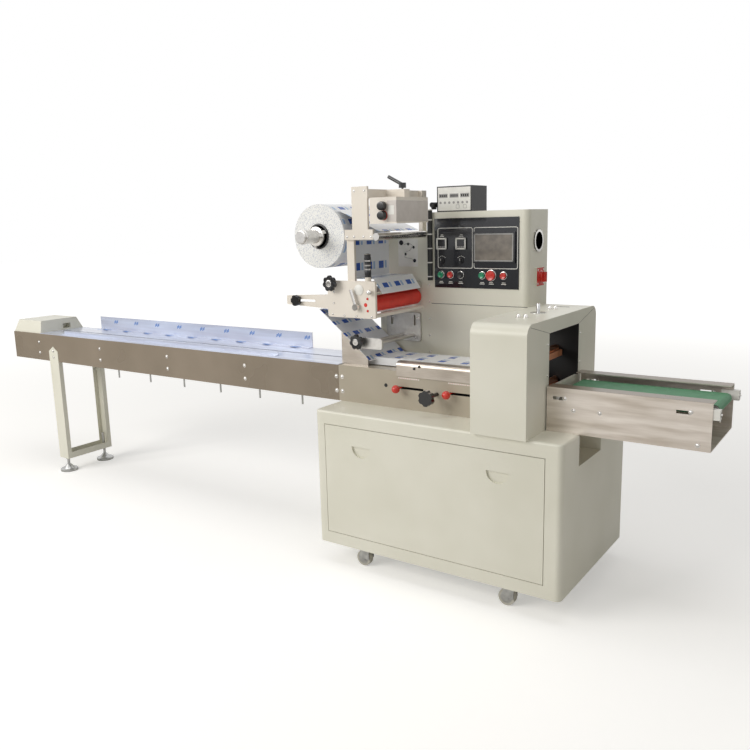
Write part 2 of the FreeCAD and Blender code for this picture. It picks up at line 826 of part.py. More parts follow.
def make_jaws():
    """Two shafts, one above the other, each with a copper jaw bar on one side."""
    for label, side in (("upper_sealing_jaw", "+"), ("lower_sealing_jaw", "-")):
        shaft = rod("Y", "JawShaftRadius", "JawShaftLength - 2 * JawJournal - 2 * CheekGap", "0",
                    "JawJournal + CheekGap - JawShaftLength / 2")
        journals = rod("Y", "JawShaftRadius * 0.7", "JawShaftLength", "0", "-JawShaftLength / 2")
        holder = block("JawSpread - JawGap / 2 - BladeDepth", "JawLength", "JawHolder", "0", "-JawLength / 2",
                       "-JawHolder / 2")
        blade = block("BladeDepth", "JawLength", "JawWidth", "JawSpread - JawGap / 2 - BladeDepth",
                      "-JawLength / 2", "-JawWidth / 2")
        piece(fuse(shaft, journals, holder, blade), label, "HousingX + HousingWidth / 2", "LineY",
              f"SealZ {side} JawSpread")


# ---------------------------------------------------------------- deck, tower and controls

def make_deck():
    """The painted frame that stands on the cabinet and carries the film unit."""
    width = "HousingOffset - DeckLeft"
    depth = "TowerSetback + TowerDepth - (LineOffset - BeamWidth / 2)"
    frame = block(width, depth, "BeamHeight")
    slots = [block("SlotLength", "SlotDepth", "SlotHeight", f"{x} - DeckLeft", "0",
                   "LeverHeight - SlotHeight / 2") for x in ("FirstSlotX", "SecondSlotX")]
    bore = rod("Y", "KnobShaftRadius + RunningGap", "SlotDepth", "KnobX - DeckLeft", "0", "KnobHeight")
    piece(cut(frame, *slots, bore), "deck_frame", "CabinetX + DeckLeft", "BeamY", "DeckZ")


def make_bar_cover():
    """A rounded stainless cover along the deck's front edge."""
    length = "HousingOffset - BarCoverX"
    cover = extrude("BarCoverShell", "YZ_Plane", [
        ("0", "0"), ("SheetThickness * 2", "0"), ("SheetThickness * 2", "BarCoverLip"),
        ("BarCoverDepth", "BarCoverLip"), ("BarCoverDepth", "BarCoverLip + BarCoverHeight"),
        ("0", "BarCoverLip + BarCoverHeight")], length)
    top = value("BarCoverLip + BarCoverHeight")
    round_edges(cover, "BarCoverDepth / 2", lambda edge: runs_along(edge, "x") and level(edge, "z", top)
                and level(edge, "y", 0))
    piece(cover, "heater_bar_cover", "CabinetX + BarCoverX", "BeamY - 2 * SheetThickness",
          "TableZ - BarCoverLip")


def make_front_controls():
    for number, x in enumerate(("FirstSlotX", "SecondSlotX"), start=1):
        stem = rod("Y", "LeverRodRadius", "LeverReach + SlotDepth / 2", "0", "-LeverReach")
        slider = block("SlotHeight * 1.6", "SheetThickness * 2", "SlotHeight * 0.8", "-SlotHeight * 0.8",
                       "SlotDepth / 2 - SheetThickness", "-SlotHeight * 0.4")
        piece(fuse(stem, slider, ball("BallRadius", "0", "-LeverReach")), f"ball_lever_{number}",
              f"CabinetX + {x} + (SlotLength - LeverTravel) / 2", "BeamY", "DeckZ + LeverHeight")
    make_lobed_knob("lobed_knob", 6, "KnobRadius", "KnobWidth", "KnobReach", "KnobShaftRadius",
                    ("CabinetX + KnobX", "BeamY", "DeckZ + KnobHeight"), "SlotDepth / 2")


def make_lobed_knob(label, lobes, radius, width, reach, shaft_radius, place, root):
    """A hand knob with scooped flanks, on a shaft that runs back along +Y."""
    body = doc.addObject("PartDesign::Body", "Knob")
    sketch = body.newObject("Sketcher::SketchObject", "Disc")
    sketch.AttachmentSupport = (plane_of(body, "XZ_Plane"), [""])
    sketch.MapMode = "FlatFace"
    circle = sketch.addGeometry(Part.Circle(Vector(), Vector(0, 0, 1), value(radius)), False)
    sketch.addConstraint(Sketcher.Constraint("Coincident", circle, 3, -1, 1))
    size = sketch.addConstraint(Sketcher.Constraint("Radius", circle, value(radius)))
    sketch.renameConstraint(size, "Reach")
    sketch.setExpression("Constraints.Reach", linked(radius))
    pad = body.newObject("PartDesign::Pad", "Pad")
    pad.Profile = sketch
    pad.Reversed = True
    bind(pad, Length=width)
    doc.recompute()
    scoop = body.newObject("Sketcher::SketchObject", "Scoop")
    scoop.AttachmentSupport = (plane_of(body, "XZ_Plane"), [""])
    scoop.MapMode = "FlatFace"
    centre = f"({radius}) * 1.28"
    bite = scoop.addGeometry(Part.Circle(Vector(value(centre), 0, 0), Vector(0, 0, 1), value(radius) * 0.42))
    scoop.addConstraint(Sketcher.Constraint("PointOnObject", bite, 3, -1))
    out = scoop.addConstraint(Sketcher.Constraint("DistanceX", -1, 1, bite, 3, value(centre)))
    scoop.renameConstraint(out, "Out")
    scoop.setExpression("Constraints.Out", linked(centre))
    bite_size = scoop.addConstraint(Sketcher.Constraint("Radius", bite, value(radius) * 0.42))
    scoop.renameConstraint(bite_size, "Bite")
    scoop.setExpression("Constraints.Bite", linked(f"({radius}) * 0.42"))
    pocket = body.newObject("PartDesign::Pocket", "Pocket")
    pocket.Profile = scoop
    pocket.Type = 1
    pocket.Midplane = True
    doc.recompute()
    pattern = body.newObject("PartDesign::PolarPattern", "Lobes")
    pattern.Originals = [pocket]
    pattern.Axis = (sketch, ["N_Axis"])
    pattern.Angle = 360
    pattern.Occurrences = lobes
    body.Tip = pattern
    doc.recompute()
    move(body, "0", f"-({reach})")
    shaft = rod("Y", shaft_radius, f"{reach} + {root} - ({width}) / 2", "0", f"({width}) / 2 - ({reach})")
    piece(fuse(body, shaft), label, *place)


def make_tower():
    column = block("TowerWidth", "TowerDepth", "TowerHeight")
    piece(column, "tower_column", "TowerX", "TowerY", "TableZ")


def make_control_box():
    box = extrude("ControlShell", "XY_Plane", rectangle("TowerWidth", "TowerDepth"), "ControlHeight")
    width = value("TowerWidth")
    round_edges(box, "ControlCorner", lambda edge: runs_along(edge, "z") and level(edge, "y", 0)
                and level(edge, "x", width))
    bores = [rod("Y", "ButtonStemRadius + 1", "2 * ButtonStemLength",
                 f"PanelPlateLeft + {x}", "0", f"PanelPlateBottom + {z}") for x, z in control_places()]
    plate = block("SwitchPlateThickness", "SwitchPlate", "SwitchPlate", "TowerWidth",
                  "SwitchSetback - SwitchPlate / 2", "SwitchHeight - SwitchPlate / 2")
    spindle = rod("X", "ButtonStemRadius + 1", "2 * ButtonStemLength + SwitchPlateThickness",
                  "TowerWidth - 2 * ButtonStemLength", "SwitchSetback", "SwitchHeight")
    piece(cut(fuse(box, plate), spindle, *bores), "control_box", "TowerX", "TowerY", "ControlZ")


BUTTONS = {
    "start_button": 32, "stop_button": 78, "reset_button": 126, "jog_button": 227, "run_button": 324,
}


def control_places():
    """Centres of everything pressed or turned on the panel, from the plate's lower left corner."""
    places = [(across, "ButtonRow") for across in BUTTONS.values()]
    places.append(("StopAcross", "ButtonRow"))
    places += [("SelectorAcross", "SelectorRow"), ("SelectorAcross + ControllerPitch", "SelectorRow")]
    return places


def make_control_panel():
    plate = block("PanelPlateWidth", "PanelPlateThickness", "PanelPlateHeight")
    front = "-BezelThickness"
    screen = block("ScreenWidth", "BezelThickness", "ScreenHeight", "ScreenLeft", front, "ScreenBottom")
    controllers = [block("ControllerSide", "BezelThickness", "ControllerSide",
                         f"ControllerLeft + {number} * ControllerPitch", front, "ControllerBottom")
                   for number in range(2)]
    bores = [rod("Y", "ButtonStemRadius + 1", "PanelPlateThickness", x, "0", z)
             for x, z in control_places()]
    piece(cut(fuse(plate, screen, *controllers), *bores), "control_panel", "PlateX", "PlateY", "PlateZ")


def make_panel_controls():
    for label, across in BUTTONS.items():
        make_button(label, "ButtonRadius", "ButtonThickness", across)
    make_button("emergency_stop", "StopRadius", "StopThickness", "StopAcross")
    for number, across in enumerate(("SelectorAcross", "SelectorAcross + ControllerPitch"), start=1):
        cap = rod("Y", "SelectorRadius", "SelectorLength / 3", "0", "-SelectorLength / 3")
        grip = block("SelectorRadius * 0.7", "SelectorLength", "SelectorRadius * 2", "-SelectorRadius * 0.35",
                     "-SelectorLength", "-SelectorRadius")
        stem = rod("Y", "ButtonStemRadius", "ButtonStemLength")
        piece(fuse(cap, grip, stem), f"selector_switch_{number}", f"PlateX + {across}",
              "PlateY - 1", "PlateZ + SelectorRow")
    base = rod("X", "SwitchRadius", "SwitchLength / 2", "1")
    grip = block("SwitchLength", "SwitchRadius * 0.6", "SwitchRadius * 2", "1", "-SwitchRadius * 0.3",
                 "-SwitchRadius")
    stem = rod("X", "ButtonStemRadius", "ButtonStemLength + SwitchPlateThickness",
               "1 - ButtonStemLength - SwitchPlateThickness")
    piece(fuse(base, grip, stem), "main_switch", "TowerX + TowerWidth + SwitchPlateThickness",
          "TowerY + SwitchSetback", "ControlZ + SwitchHeight")


def make_button(label, radius, thickness, across):
    """A push button: a cap in front of the plate on a stem that slides back into it."""
    cap = rod("Y", radius, thickness, "0", f"-({thickness})")
    stem = rod("Y", "ButtonStemRadius", "ButtonStemLength")
    piece(fuse(cap, stem), label, f"PlateX + {across}", "PlateY - ButtonTravel - 1", "PlateZ + ButtonRow")


def make_counter_box():
    piece(block("CounterWidth", "CounterDepth", "CounterHeight"), "counter_box",
          "TowerX + CounterLeft", "TowerY + CounterSetback", "ControlZ + ControlHeight")


# ---------------------------------------------------------------- film wall, reel and rollers

def make_film_wall():
    """The upright box behind the film path, with the reel's arm and the rollers' rear bearings."""
    wall = block("WallWidth", "TowerDepth", "WallHeight")
    arm_left = "ReelX - WallLeft - ReelArmHeight / 2"
    arm = block(f"ReelArmGrip - ({arm_left})", "ReelArmThickness", "ReelArmHeight", arm_left,
                "-ReelArmThickness", "ReelZ - ReelArmHeight / 2")
    bearing = block("GuideBlock", "GuideBlockDepth", "GuideBlock", "GuideRollerX - WallLeft - GuideBlock / 2",
                    "-GuideBlockReach", "GuideRollerZ - GuideBlock / 2")
    reel_bore = rod("Y", "ReelStubRadius + RunningGap", "ReelArmThickness", "ReelX - WallLeft",
                    "-ReelArmThickness", "ReelZ")
    bores = [
        rod("Y", "JournalRadius + RunningGap", "BoreDepth", "FeedRollerX - WallLeft", "0", "FeedRollerZ"),
        rod("Y", "JournalRadius + RunningGap", "BoreDepth", "NipRollerX - WallLeft", "0",
            "FeedRollerZ + NipRise"),
        rod("Y", "JournalRadius + RunningGap", "BoreDepth", "GuideRollerX - WallLeft", "-GuideBlockReach",
            "GuideRollerZ"),
    ]
    piece(cut(fuse(wall, arm, bearing), reel_bore, *bores), "film_wall", "WallX", "TowerY", "TableZ")


def make_film_reel():
    """The wound film on its core, and the shaft that the core is clamped to."""
    roll = rod("Y", "ReelRadius", "ReelWidth")
    recess = rod("Y", "CoreRadius", "ReelWidth / 4")
    shaft = rod("Y", "ReelShaftRadius", "ReelWidth / 2 + ReelShaftReach", "0", "-ReelShaftReach")
    stub = rod("Y", "ReelStubRadius", "ReelStub", "0", "ReelWidth")
    piece(fuse(cut(roll, recess), shaft, stub), "film_reel", "CabinetX + ReelX", "CabinetY + ReelFront",
          "TableZ + ReelZ")


def make_rollers():
    body = "FilmSpan - PlateThickness - 2 * RollerEndGap"
    journals = "FilmSpan + BoreDepth - RollerEndGap"
    for label, radius, x, z in (
            ("feed_roller", "FeedRollerRadius", "FeedRollerX", "FeedRollerZ"),
            ("nip_roller", "NipRollerRadius", "NipRollerX", "FeedRollerZ + NipRise")):
        barrel = rod("Y", radius, body, "0", "PlateThickness + RollerEndGap")
        spindle = rod("Y", "JournalRadius", journals)
        piece(fuse(barrel, spindle), label, f"CabinetX + {x}", "FilmY", f"TableZ + {z}")
    barrel = rod("Y", "GuideRollerRadius", "FilmSpan - GuideBlockReach - RollerEndGap")
    spindle = rod("Y", "JournalRadius", "FilmSpan - GuideBlockReach + BoreDepth - RollerEndGap")
    piece(fuse(barrel, spindle), "guide_roller", "CabinetX + GuideRollerX", "FilmY",
          "TableZ + GuideRollerZ")


# ---------------------------------------------------------------- film feed unit

def make_feed_frame():
    """The front plate on its tie rods, with the slotted arm to its left and the sensor on top."""
    plate = extrude("FeedPlate", "XZ_Plane", rectangle("FeedWidth", "FeedHeight", "FeedLeft", "FeedBottom"),
                    "PlateThickness")
    round_edges(plate, "FeedCorner", lambda edge: runs_along(edge, "y"))
    arm = extrude("SlottedArm", "XZ_Plane", [
        ("FeedLeft - ArmReach", "ArmLevel - ArmEndHeight / 2"),
        ("FeedLeft + ArmRootHeight / 2", "ArmLevel - ArmRootHeight / 2"),
        ("FeedLeft + ArmRootHeight / 2", "ArmLevel + ArmRootHeight / 2"),
        ("FeedLeft - ArmReach", "ArmLevel + ArmEndHeight / 2")], "PlateThickness")
    round_edges(arm, "FeedCorner / 2", lambda edge: runs_along(edge, "y"))
    ties = [rod("Y", "TieRadius", "FilmSpan - PlateThickness", x, "PlateThickness", z) for x, z in (
        ("FeedLeft + TieRadius * 3", "FeedBottom + TieRadius * 5"),
        ("FeedLeft + TieRadius * 8", "FeedBottom + FeedHeight - TieRadius * 3"),
        ("FeedLeft + FeedWidth - TieRadius * 2", "FeedBottom + TieRadius"))]
    sensor = rod("Z", "SensorRadius", "SensorHeight + SensorSink", "SensorX", "PlateThickness",
                 "FeedBottom + FeedHeight - SensorSink")
    slot_radius = "ArmSlotWidth / 2"
    slot = fuse(
        block("ArmSlotLength", "PlateThickness", "ArmSlotWidth", "ArmSlotX", "0", "ArmLevel - ArmSlotWidth / 2"),
        rod("Y", slot_radius, "PlateThickness", "ArmSlotX", "0", "ArmLevel"),
        rod("Y", slot_radius, "PlateThickness", "ArmSlotX + ArmSlotLength", "0", "ArmLevel"))
    bores = [rod("Y", f"{radius} + RunningGap", "PlateThickness", x, "0", z) for radius, x, z in (
        ("JournalRadius", "FeedRollerX", "FeedRollerZ"),
        ("JournalRadius", "NipRollerX", "FeedRollerZ + NipRise"),
        ("ButtonStemRadius", "HandwheelX", "HandwheelZ"),
        ("ButtonStemRadius", "CrankX", "CrankZ"))]
    piece(cut(fuse(plate, arm, sensor, *ties), slot, *bores), "feed_unit_frame", "CabinetX", "FilmY", "TableZ")


def make_handwheel(label, shaft_length, *place):
    """A round grip on three spokes, in front of the plate that its shaft runs in."""
    rim = doc.addObject("Part::Torus", "Rim")
    rim.Placement = FreeCAD.Placement(Vector(), TURNS["Y"])
    bind(rim, Radius1="HandwheelRadius - HandwheelRim", Radius2="HandwheelRim")
    web = rod("Y", "HandwheelRadius - HandwheelRim", "HandwheelRim / 2", "0", "-HandwheelRim / 4")
    hub = rod("Y", "HandwheelHub", "HandwheelWidth", "0", "-HandwheelWidth / 2")
    shaft = rod("Y", "ButtonStemRadius", f"HandwheelStandoff + HandwheelWidth / 2 + {shaft_length}")
    piece(fuse(rim, web, hub, shaft), label, *place)


def make_feed_controls():
    standoff = "HandwheelStandoff - HandwheelWidth / 2"
    make_handwheel("upper_handwheel", "PlateThickness", "CabinetX + HandwheelX", f"FilmY - {standoff}",
                   "TableZ + HandwheelZ")
    make_handwheel("lower_handwheel", "PlateThickness", "CabinetX + LowerWheelX",
                   f"CabinetY + FinPlateY - {standoff}", "TableZ + LowerWheelZ")
    make_lobed_knob("star_knob", 5, "StarRadius", "StarWidth", "StarWidth + CheekGap + 1", "ButtonStemRadius",
                    ("CabinetX + StarX", "FilmY", "TableZ + ArmLevel"), "PlateThickness")
    hub = rod("Y", "CrankHub", "CrankHub * 1.4", "0", "-CrankHub * 1.4 - CheekGap - 1")
    spindle = rod("Y", "ButtonStemRadius", "PlateThickness + CrankHub + CheekGap", "0", "-CrankHub - CheekGap")
    grip = tilted_rod("CrankRadius", "CrankLength", "CrankTilt", "-CrankHub * 0.7 - CheekGap - 1")
    piece(fuse(hub, spindle, grip), "crank_lever", "CabinetX + CrankX", "FilmY", "TableZ + CrankZ")


def tilted_rod(radius, length, tilt, y="0", z="0"):
    """A bar that starts on the Y axis and leans from upright towards -X."""
    bar = doc.addObject("Part::Cylinder", "Rod")
    bar.Placement = FreeCAD.Placement(Vector(), Rotation(Vector(0, -1, 0), value(tilt)))
    bind(bar, Radius=radius, Height=length)
    bar.setExpression("Placement.Rotation.Angle", linked(f"{tilt} * 1 deg"))
    return move(bar, "0", y, z)


# ---------------------------------------------------------------- coder

def make_coder():
    foot = block("CoderFootWidth", "PlateThickness", "CoderFootHeight", "CoderFootLeft", "0", "CoderFootBottom")
    plate = block("CoderPlateWidth", "PlateThickness", "CoderPlateHeight", "CoderLeft", "0",
                  "CoderFootBottom + CoderFootHeight")
    post = block("SidePostWidth", "PlateThickness", "CoderPostDrop + CoderFootHeight", "CoderFootLeft",
                 "PlateThickness", "CoderFootBottom - CoderPostDrop")
    rail = block("RailWidth", "FilmSpan + RailHeight", "RailHeight", "RailX", "0", "RailBottom")
    rear = block("RearPostWidth", "RailHeight", "RailBottom + RailHeight - WallHeight", "RailX + RailWidth",
                 "FilmSpan", "WallHeight")
    piece(fuse(foot, plate, post, rail, rear), "coder_bracket", "CabinetX", "FilmY", "TableZ")
    box = block("CoderBoxWidth", "CoderBoxDepth", "CoderBoxHeight")
    top = "CoderBoxHeight"
    clamp_left = "RailX + RailWidth - CoderBoxLeft"
    clamp = block("ClampWidth", "ClampDepth", "ClampHeight", clamp_left, "ClampSetback", top)
    dials = [rod("Y", "DialRadius", "DialLength", "DialX - CoderBoxLeft", "-DialLength",
                 f"{top} - DialDrop - {number} * DialPitch") for number in range(2)]
    bore = rod("Z", "ButtonStemRadius + RunningGap", "ClampHeight", "ClampLeverX - CoderBoxLeft",
               "ClampSetback + ClampDepth / 2", top)
    piece(cut(fuse(box, clamp, *dials), bore), "coder_unit", "CabinetX + CoderBoxLeft", "FilmY",
          "TableZ + CoderBoxBottom")
    hub = rod("Z", "ClampLeverHub", "ClampLeverRise", "0", "0", "CheekGap + 1")
    pin = rod("Z", "ButtonStemRadius", "ClampHeight * 0.8 + CheekGap + 2", "0", "0", "-ClampHeight * 0.8")
    grip = tilted_rod("CrankRadius", "ClampLeverLength", "ClampLeverTilt", "0", "CheekGap + CrankRadius * 2")
    piece(fuse(hub, pin, grip), "coder_clamp_lever", "CabinetX + ClampLeverX",
          "FilmY + ClampSetback + ClampDepth / 2", "TableZ + CoderBoxBottom + CoderBoxHeight + ClampHeight")


# ---------------------------------------------------------------- film, forming and fin seal

def make_film():
    """The web's free spans between the rollers, the sloping sheet over the former, and the flat tube."""
    thin = "WebThickness"
    above = extrude("WebFromReel", "XZ_Plane", [
        ("WebTopX", "WebTopZ"), ("WebGuideX", "WebGuideZ"),
        ("WebGuideX", f"WebGuideZ + {thin}"), ("WebTopX", f"WebTopZ + {thin}")], "WebWidth")
    move(above, "0", "WebSetback")
    bottom = "GuideRollerZ - GuideRollerRadius - WebThickness"
    returning = block("WebReturn", "WebWidth", thin, "WebDropX", "WebSetback", bottom)
    drop = block(thin, "WebWidth", f"{bottom} + {thin} - WebShelf", "WebDropX", "WebSetback", "WebShelf")
    shelf = block("WebShelfEnd - WebDropX", "WebWidth", thin, "WebDropX", "WebSetback", "WebShelf")
    nip = extrude("WebToNip", "XZ_Plane", [
        ("WebShelfEnd", "WebShelf"), ("WebNipX", "WebNipZ"),
        ("WebNipX", "WebNipZ + 2 * WebThickness"), ("WebShelfEnd", f"WebShelf + {thin}")], "WebWidth")
    move(nip, "0", "WebSetback")
    inset = "LineOffset - FilmFront - FormerWidth / 2"
    under = block("FeedRollerX - FormerX", "FormerWidth", thin, "FormerX", inset, "FormerZ")
    slope = extrude("FormerSheet", "XZ_Plane", [
        ("FormerX", "FormerZ"), ("FormerTipX", "FormerTipZ"),
        ("FormerTipX", "FormerTipZ + 1.3 * WebThickness"), ("FormerX + WebThickness", "FormerZ + WebThickness")],
        "FormerWidth")
    move(slope, "0", inset)
    tube = block("HousingOffset + HousingWall - TubeLeft", "TubeWidth", "TubeHeight", "TubeLeft",
                 "LineOffset - FilmFront - TubeWidth / 2", "TubeLift")
    piece(group(above, fuse(returning, drop, shelf, nip), fuse(under, slope, tube)), "film_web",
          "CabinetX", "FilmY", "TableZ")


def make_former():
    """The folding plough: a sloping stainless plate under the film, on two cheeks."""
    fall = "(FormerZ - FormerTipZ) / (FormerTipX - FormerX)"
    width = "FormerWidth - 2 * PloughInset"
    inset = "LineOffset - FormerWidth / 2 + PloughInset"

    def along(height):
        return f"FormerTipX - ({height} - FormerTipZ) / ({fall})"

    plate = extrude("PloughPlate", "XZ_Plane", [
        (along("PloughTop"), "PloughTop - WebThickness"), (along("PloughTip"), "PloughTip - WebThickness"),
        (along("PloughTip"), "PloughTip - WebThickness - SheetThickness"),
        (along("PloughTop"), "PloughTop - WebThickness - SheetThickness * 1.4")], width)
    cheeks = []
    for y in ("0", f"{width} - SheetThickness"):
        cheek = extrude("PloughCheek", "XZ_Plane", [
            (along("PloughTop"), "0"), (along("PloughTip"), "0"),
            (along("PloughTip"), "PloughTip - WebThickness - 1"),
            (along("PloughTop"), "PloughTop - WebThickness - 1")], "SheetThickness")
        cheeks.append(move(cheek, "0", y))
    piece(fuse(plate, *cheeks), "forming_plough", "CabinetX", f"CabinetY + {inset}", "TableZ")


def make_fin_unit():
    depth = "TowerSetback - FinPlateY"
    plate = extrude("FinPlate", "XZ_Plane",
                    rectangle("FinPlateWidth", "FinPlateHeight", "FinPlateX", "FinPlateZ"), "PlateThickness")
    round_edges(plate, "FeedCorner", lambda edge: runs_along(edge, "y"))
    rods = [rod("Y", "FinRodRadius", f"{depth} - PlateThickness", x, "0", "FinRodZ")
            for x in ("FinRodX", "FinRodX + FinRodPitch")]
    bracket = extrude("WallBracket", "XZ_Plane",
                      rectangle("WallPlateWidth", "WallPlateHeight", "WallPlateX", "WallPlateZ"),
                      "PlateThickness")
    round_edges(bracket, "FeedCorner", lambda edge: runs_along(edge, "y"))
    move(bracket, "0", f"{depth} - PlateThickness")
    bore = rod("Y", "ButtonStemRadius + RunningGap", "PlateThickness", "LowerWheelX", "0", "LowerWheelZ")
    slots = [block("WallSlotWidth", "PlateThickness", "WallSlotHeight", x, f"{depth} - PlateThickness",
                   "WallPlateZ + WallPlateHeight - WallSlotHeight - FeedCorner")
             for x in ("WallPlateX + WallSlotMargin", "WallPlateX + WallPlateWidth - WallSlotMargin * 1.4")]
    piece(cut(fuse(plate, bracket, *rods), bore, *slots), "fin_seal_unit", "CabinetX",
          "CabinetY + FinPlateY", "TableZ")


def make_loom():
    """The cable loom up the tower's edge, bent back over the wall and into the counter box."""
    bend = "CounterLeft - LoomSetX"
    upright = rod("Z", "LoomRadius", "LoomTop - LoomBottom", "0", "0", "LoomBottom")
    over = quarter_bend(bend, Rotation(Vector(0, 0, 1), 90) * Rotation(Vector(1, 0, 0), 90), "0", bend, "LoomTop")
    run = rod("Y", "LoomRadius", "LoomRun", "0", bend, f"LoomTop + {bend}")
    into = quarter_bend(bend, Rotation(Vector(0, 0, 1), 90), bend, f"{bend} + LoomRun", f"LoomTop + {bend}")
    piece(fuse(upright, over, run, into), "wiring_loom", "TowerX + LoomSetX", "TowerY - LoomRadius", "TableZ")


def quarter_bend(radius, turn, x, y, z):
    """A quarter of a ring, as thick as the loom."""
    bend = doc.addObject("Part::Torus", "Bend")
    bend.Placement = FreeCAD.Placement(Vector(), turn)
    bind(bend, Radius1=radius, Radius2="LoomRadius", Angle3="90 deg")
    return move(bend, x, y, z)


# ---------------------------------------------------------------- discharge conveyor

def make_discharge():
    """A folded pan whose sides carry the belt, with the lips turned in over its edges."""
    width = "DischargeBack - DischargeFront"
    pan = block("DischargeLength", width, "PanThickness")
    sides = [block("DischargeLength", "SheetThickness", "DischargeHeight", "0", y)
             for y in ("0", f"{width} - SheetThickness")]
    lips = [block("DischargeLength", "DischargeLip", "SheetThickness", "0", y, "DischargeHeight - SheetThickness")
            for y in ("0", f"{width} - DischargeLip")]
    slots = [block("BeltSlotLength", width, "BeltSlotWidth", x, "0", "BeltTop - BeltSlotWidth * 2")
             for x in ("BeltSlotLeft", "BeltSlotRight")]
    piece(cut(fuse(pan, *sides, *lips), *slots), "discharge_side_plates", "DischargeX",
          "CabinetY + DischargeFront", "DeckZ")
    outer = "BeltRollerRadius + BeltThickness"
    start = f"BeltStart + {outer}"
    run = f"DischargeLength - BeltEndInset - BeltStart - ({outer})"
    place = (f"DischargeX + {start}", "LineY", f"BeltZ - ({outer})")

    def stadium(radius):
        ends = [rod("Y", radius, "BeltWidth", x, "-BeltWidth / 2") for x in ("0", run)]
        return fuse(block(run, "BeltWidth", f"2 * ({radius})", "0", "-BeltWidth / 2", f"-({radius})"), *ends)

    piece(cut(stadium(outer), stadium("BeltRollerRadius")), "discharge_belt", *place)
    rollers = [rod("Y", "BeltRollerRadius", "BeltWidth", x, "-BeltWidth / 2") for x in ("0", run)]
    half = f"({width}) / 2 - SheetThickness"
    shafts = [rod("Y", "BeltShaftRadius", f"2 * ({half})", x, f"-({half})") for x in ("0", run)]
    blocks = [block("TensionerLength", "TensionerWidth", "TensionerHeight",
                    f"{run} + BeltEndInset + TensionerReach - TensionerLength", y, "-TensionerHeight / 2")
              for y in (f"-({half})", f"{half} - TensionerWidth")]
    piece(group(fuse(rollers[0], shafts[0]), fuse(rollers[1], shafts[1], *blocks)), "belt_rollers", *place)


# ---------------------------------------------------------------- build, check and write

make_sheets()
make_cabinet()
make_front_panel()
make_casters()
make_beam()
make_table()
make_guides()
make_chain()
make_tail_cover()
make_legs()
make_feet()
make_housing()
make_jaws()
make_deck()
make_bar_cover()
make_front_controls()
make_tower()
make_control_box()
make_control_panel()
make_panel_controls()
make_counter_box()
make_film_wall()
make_film_reel()
make_rollers()
make_feed_frame()
make_feed_controls()
make_coder()
make_film()
make_former()
make_fin_unit()
make_loom()
make_discharge()
doc.recompute()

for thing in doc.Objects:
    if "Invalid" in thing.State or "Error" in thing.State:
        raise RuntimeError(f"{thing.Label} ({thing.Name}) did not compute: {thing.State}")

os.makedirs("parts", exist_ok=True)
for thing in pieces:
    if thing.Shape.isNull() or not thing.Shape.isValid():
        raise RuntimeError(f"{thing.Label} has no valid shape")
    thing.Shape.exportStep(f"parts/{thing.Label}.step")
print(len(pieces), "sub-parts written")
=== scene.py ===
import bmesh
import bpy
import math
from mathutils import Matrix, Vector


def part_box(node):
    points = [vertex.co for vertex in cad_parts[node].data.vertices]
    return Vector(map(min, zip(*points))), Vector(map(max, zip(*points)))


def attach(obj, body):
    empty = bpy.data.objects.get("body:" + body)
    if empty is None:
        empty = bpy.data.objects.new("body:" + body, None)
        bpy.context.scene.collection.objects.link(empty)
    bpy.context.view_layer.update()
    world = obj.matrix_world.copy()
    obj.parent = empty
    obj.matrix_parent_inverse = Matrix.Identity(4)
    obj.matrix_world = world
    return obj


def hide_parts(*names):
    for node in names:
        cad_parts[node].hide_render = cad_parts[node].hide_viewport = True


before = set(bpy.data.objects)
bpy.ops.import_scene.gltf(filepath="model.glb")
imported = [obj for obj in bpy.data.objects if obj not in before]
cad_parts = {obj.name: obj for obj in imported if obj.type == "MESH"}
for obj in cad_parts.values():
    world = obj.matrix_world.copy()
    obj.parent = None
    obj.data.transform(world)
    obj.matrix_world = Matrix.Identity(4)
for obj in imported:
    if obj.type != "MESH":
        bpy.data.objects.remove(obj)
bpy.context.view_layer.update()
print("frame loaded:", len(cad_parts), "CAD nodes")

mm = 0.001
lineShare = 0.45  # how much a brushed metal's fine lines add to its clouds
rootBody = "machine_frame"
sharpEdge = math.radians(32)
bpy.context.scene.view_settings.view_transform = "Standard"


def hexColour(code):
    channels = [int(code[i:i + 2], 16) / 255 for i in (0, 2, 4)]
    linear = [c / 12.92 if c <= 0.04045 else ((c + 0.055) / 1.055) ** 2.4 for c in channels]
    return (*linear, 1.0)


def addNode(tree, kind, settings=None, links=None):
    # settings are inputs by name or number, or else the node's own properties
    node = tree.nodes.new(kind)
    for name, value in (settings or {}).items():
        if isinstance(name, int) or name in node.inputs:
            node.inputs[name].default_value = value
        else:
            setattr(node, name, value)
    for name, source in (links or {}).items():
        tree.links.new(source, node.inputs[name])
    return node


def newMaterial(name, **shader):
    # a Principled material; returns its tree, its shader and its Object coordinates
    material = bpy.data.materials.new(name)
    material.use_nodes = True
    tree = material.node_tree
    tree.nodes.clear()
    settings = {key.replace("_", " "): value for key, value in shader.items()}
    bsdf = addNode(tree, "ShaderNodeBsdfPrincipled", settings)
    addNode(tree, "ShaderNodeOutputMaterial", links={"Surface": bsdf.outputs[0]})
    place = addNode(tree, "ShaderNodeTexCoord").outputs["Object"]
    return material, tree, bsdf, place


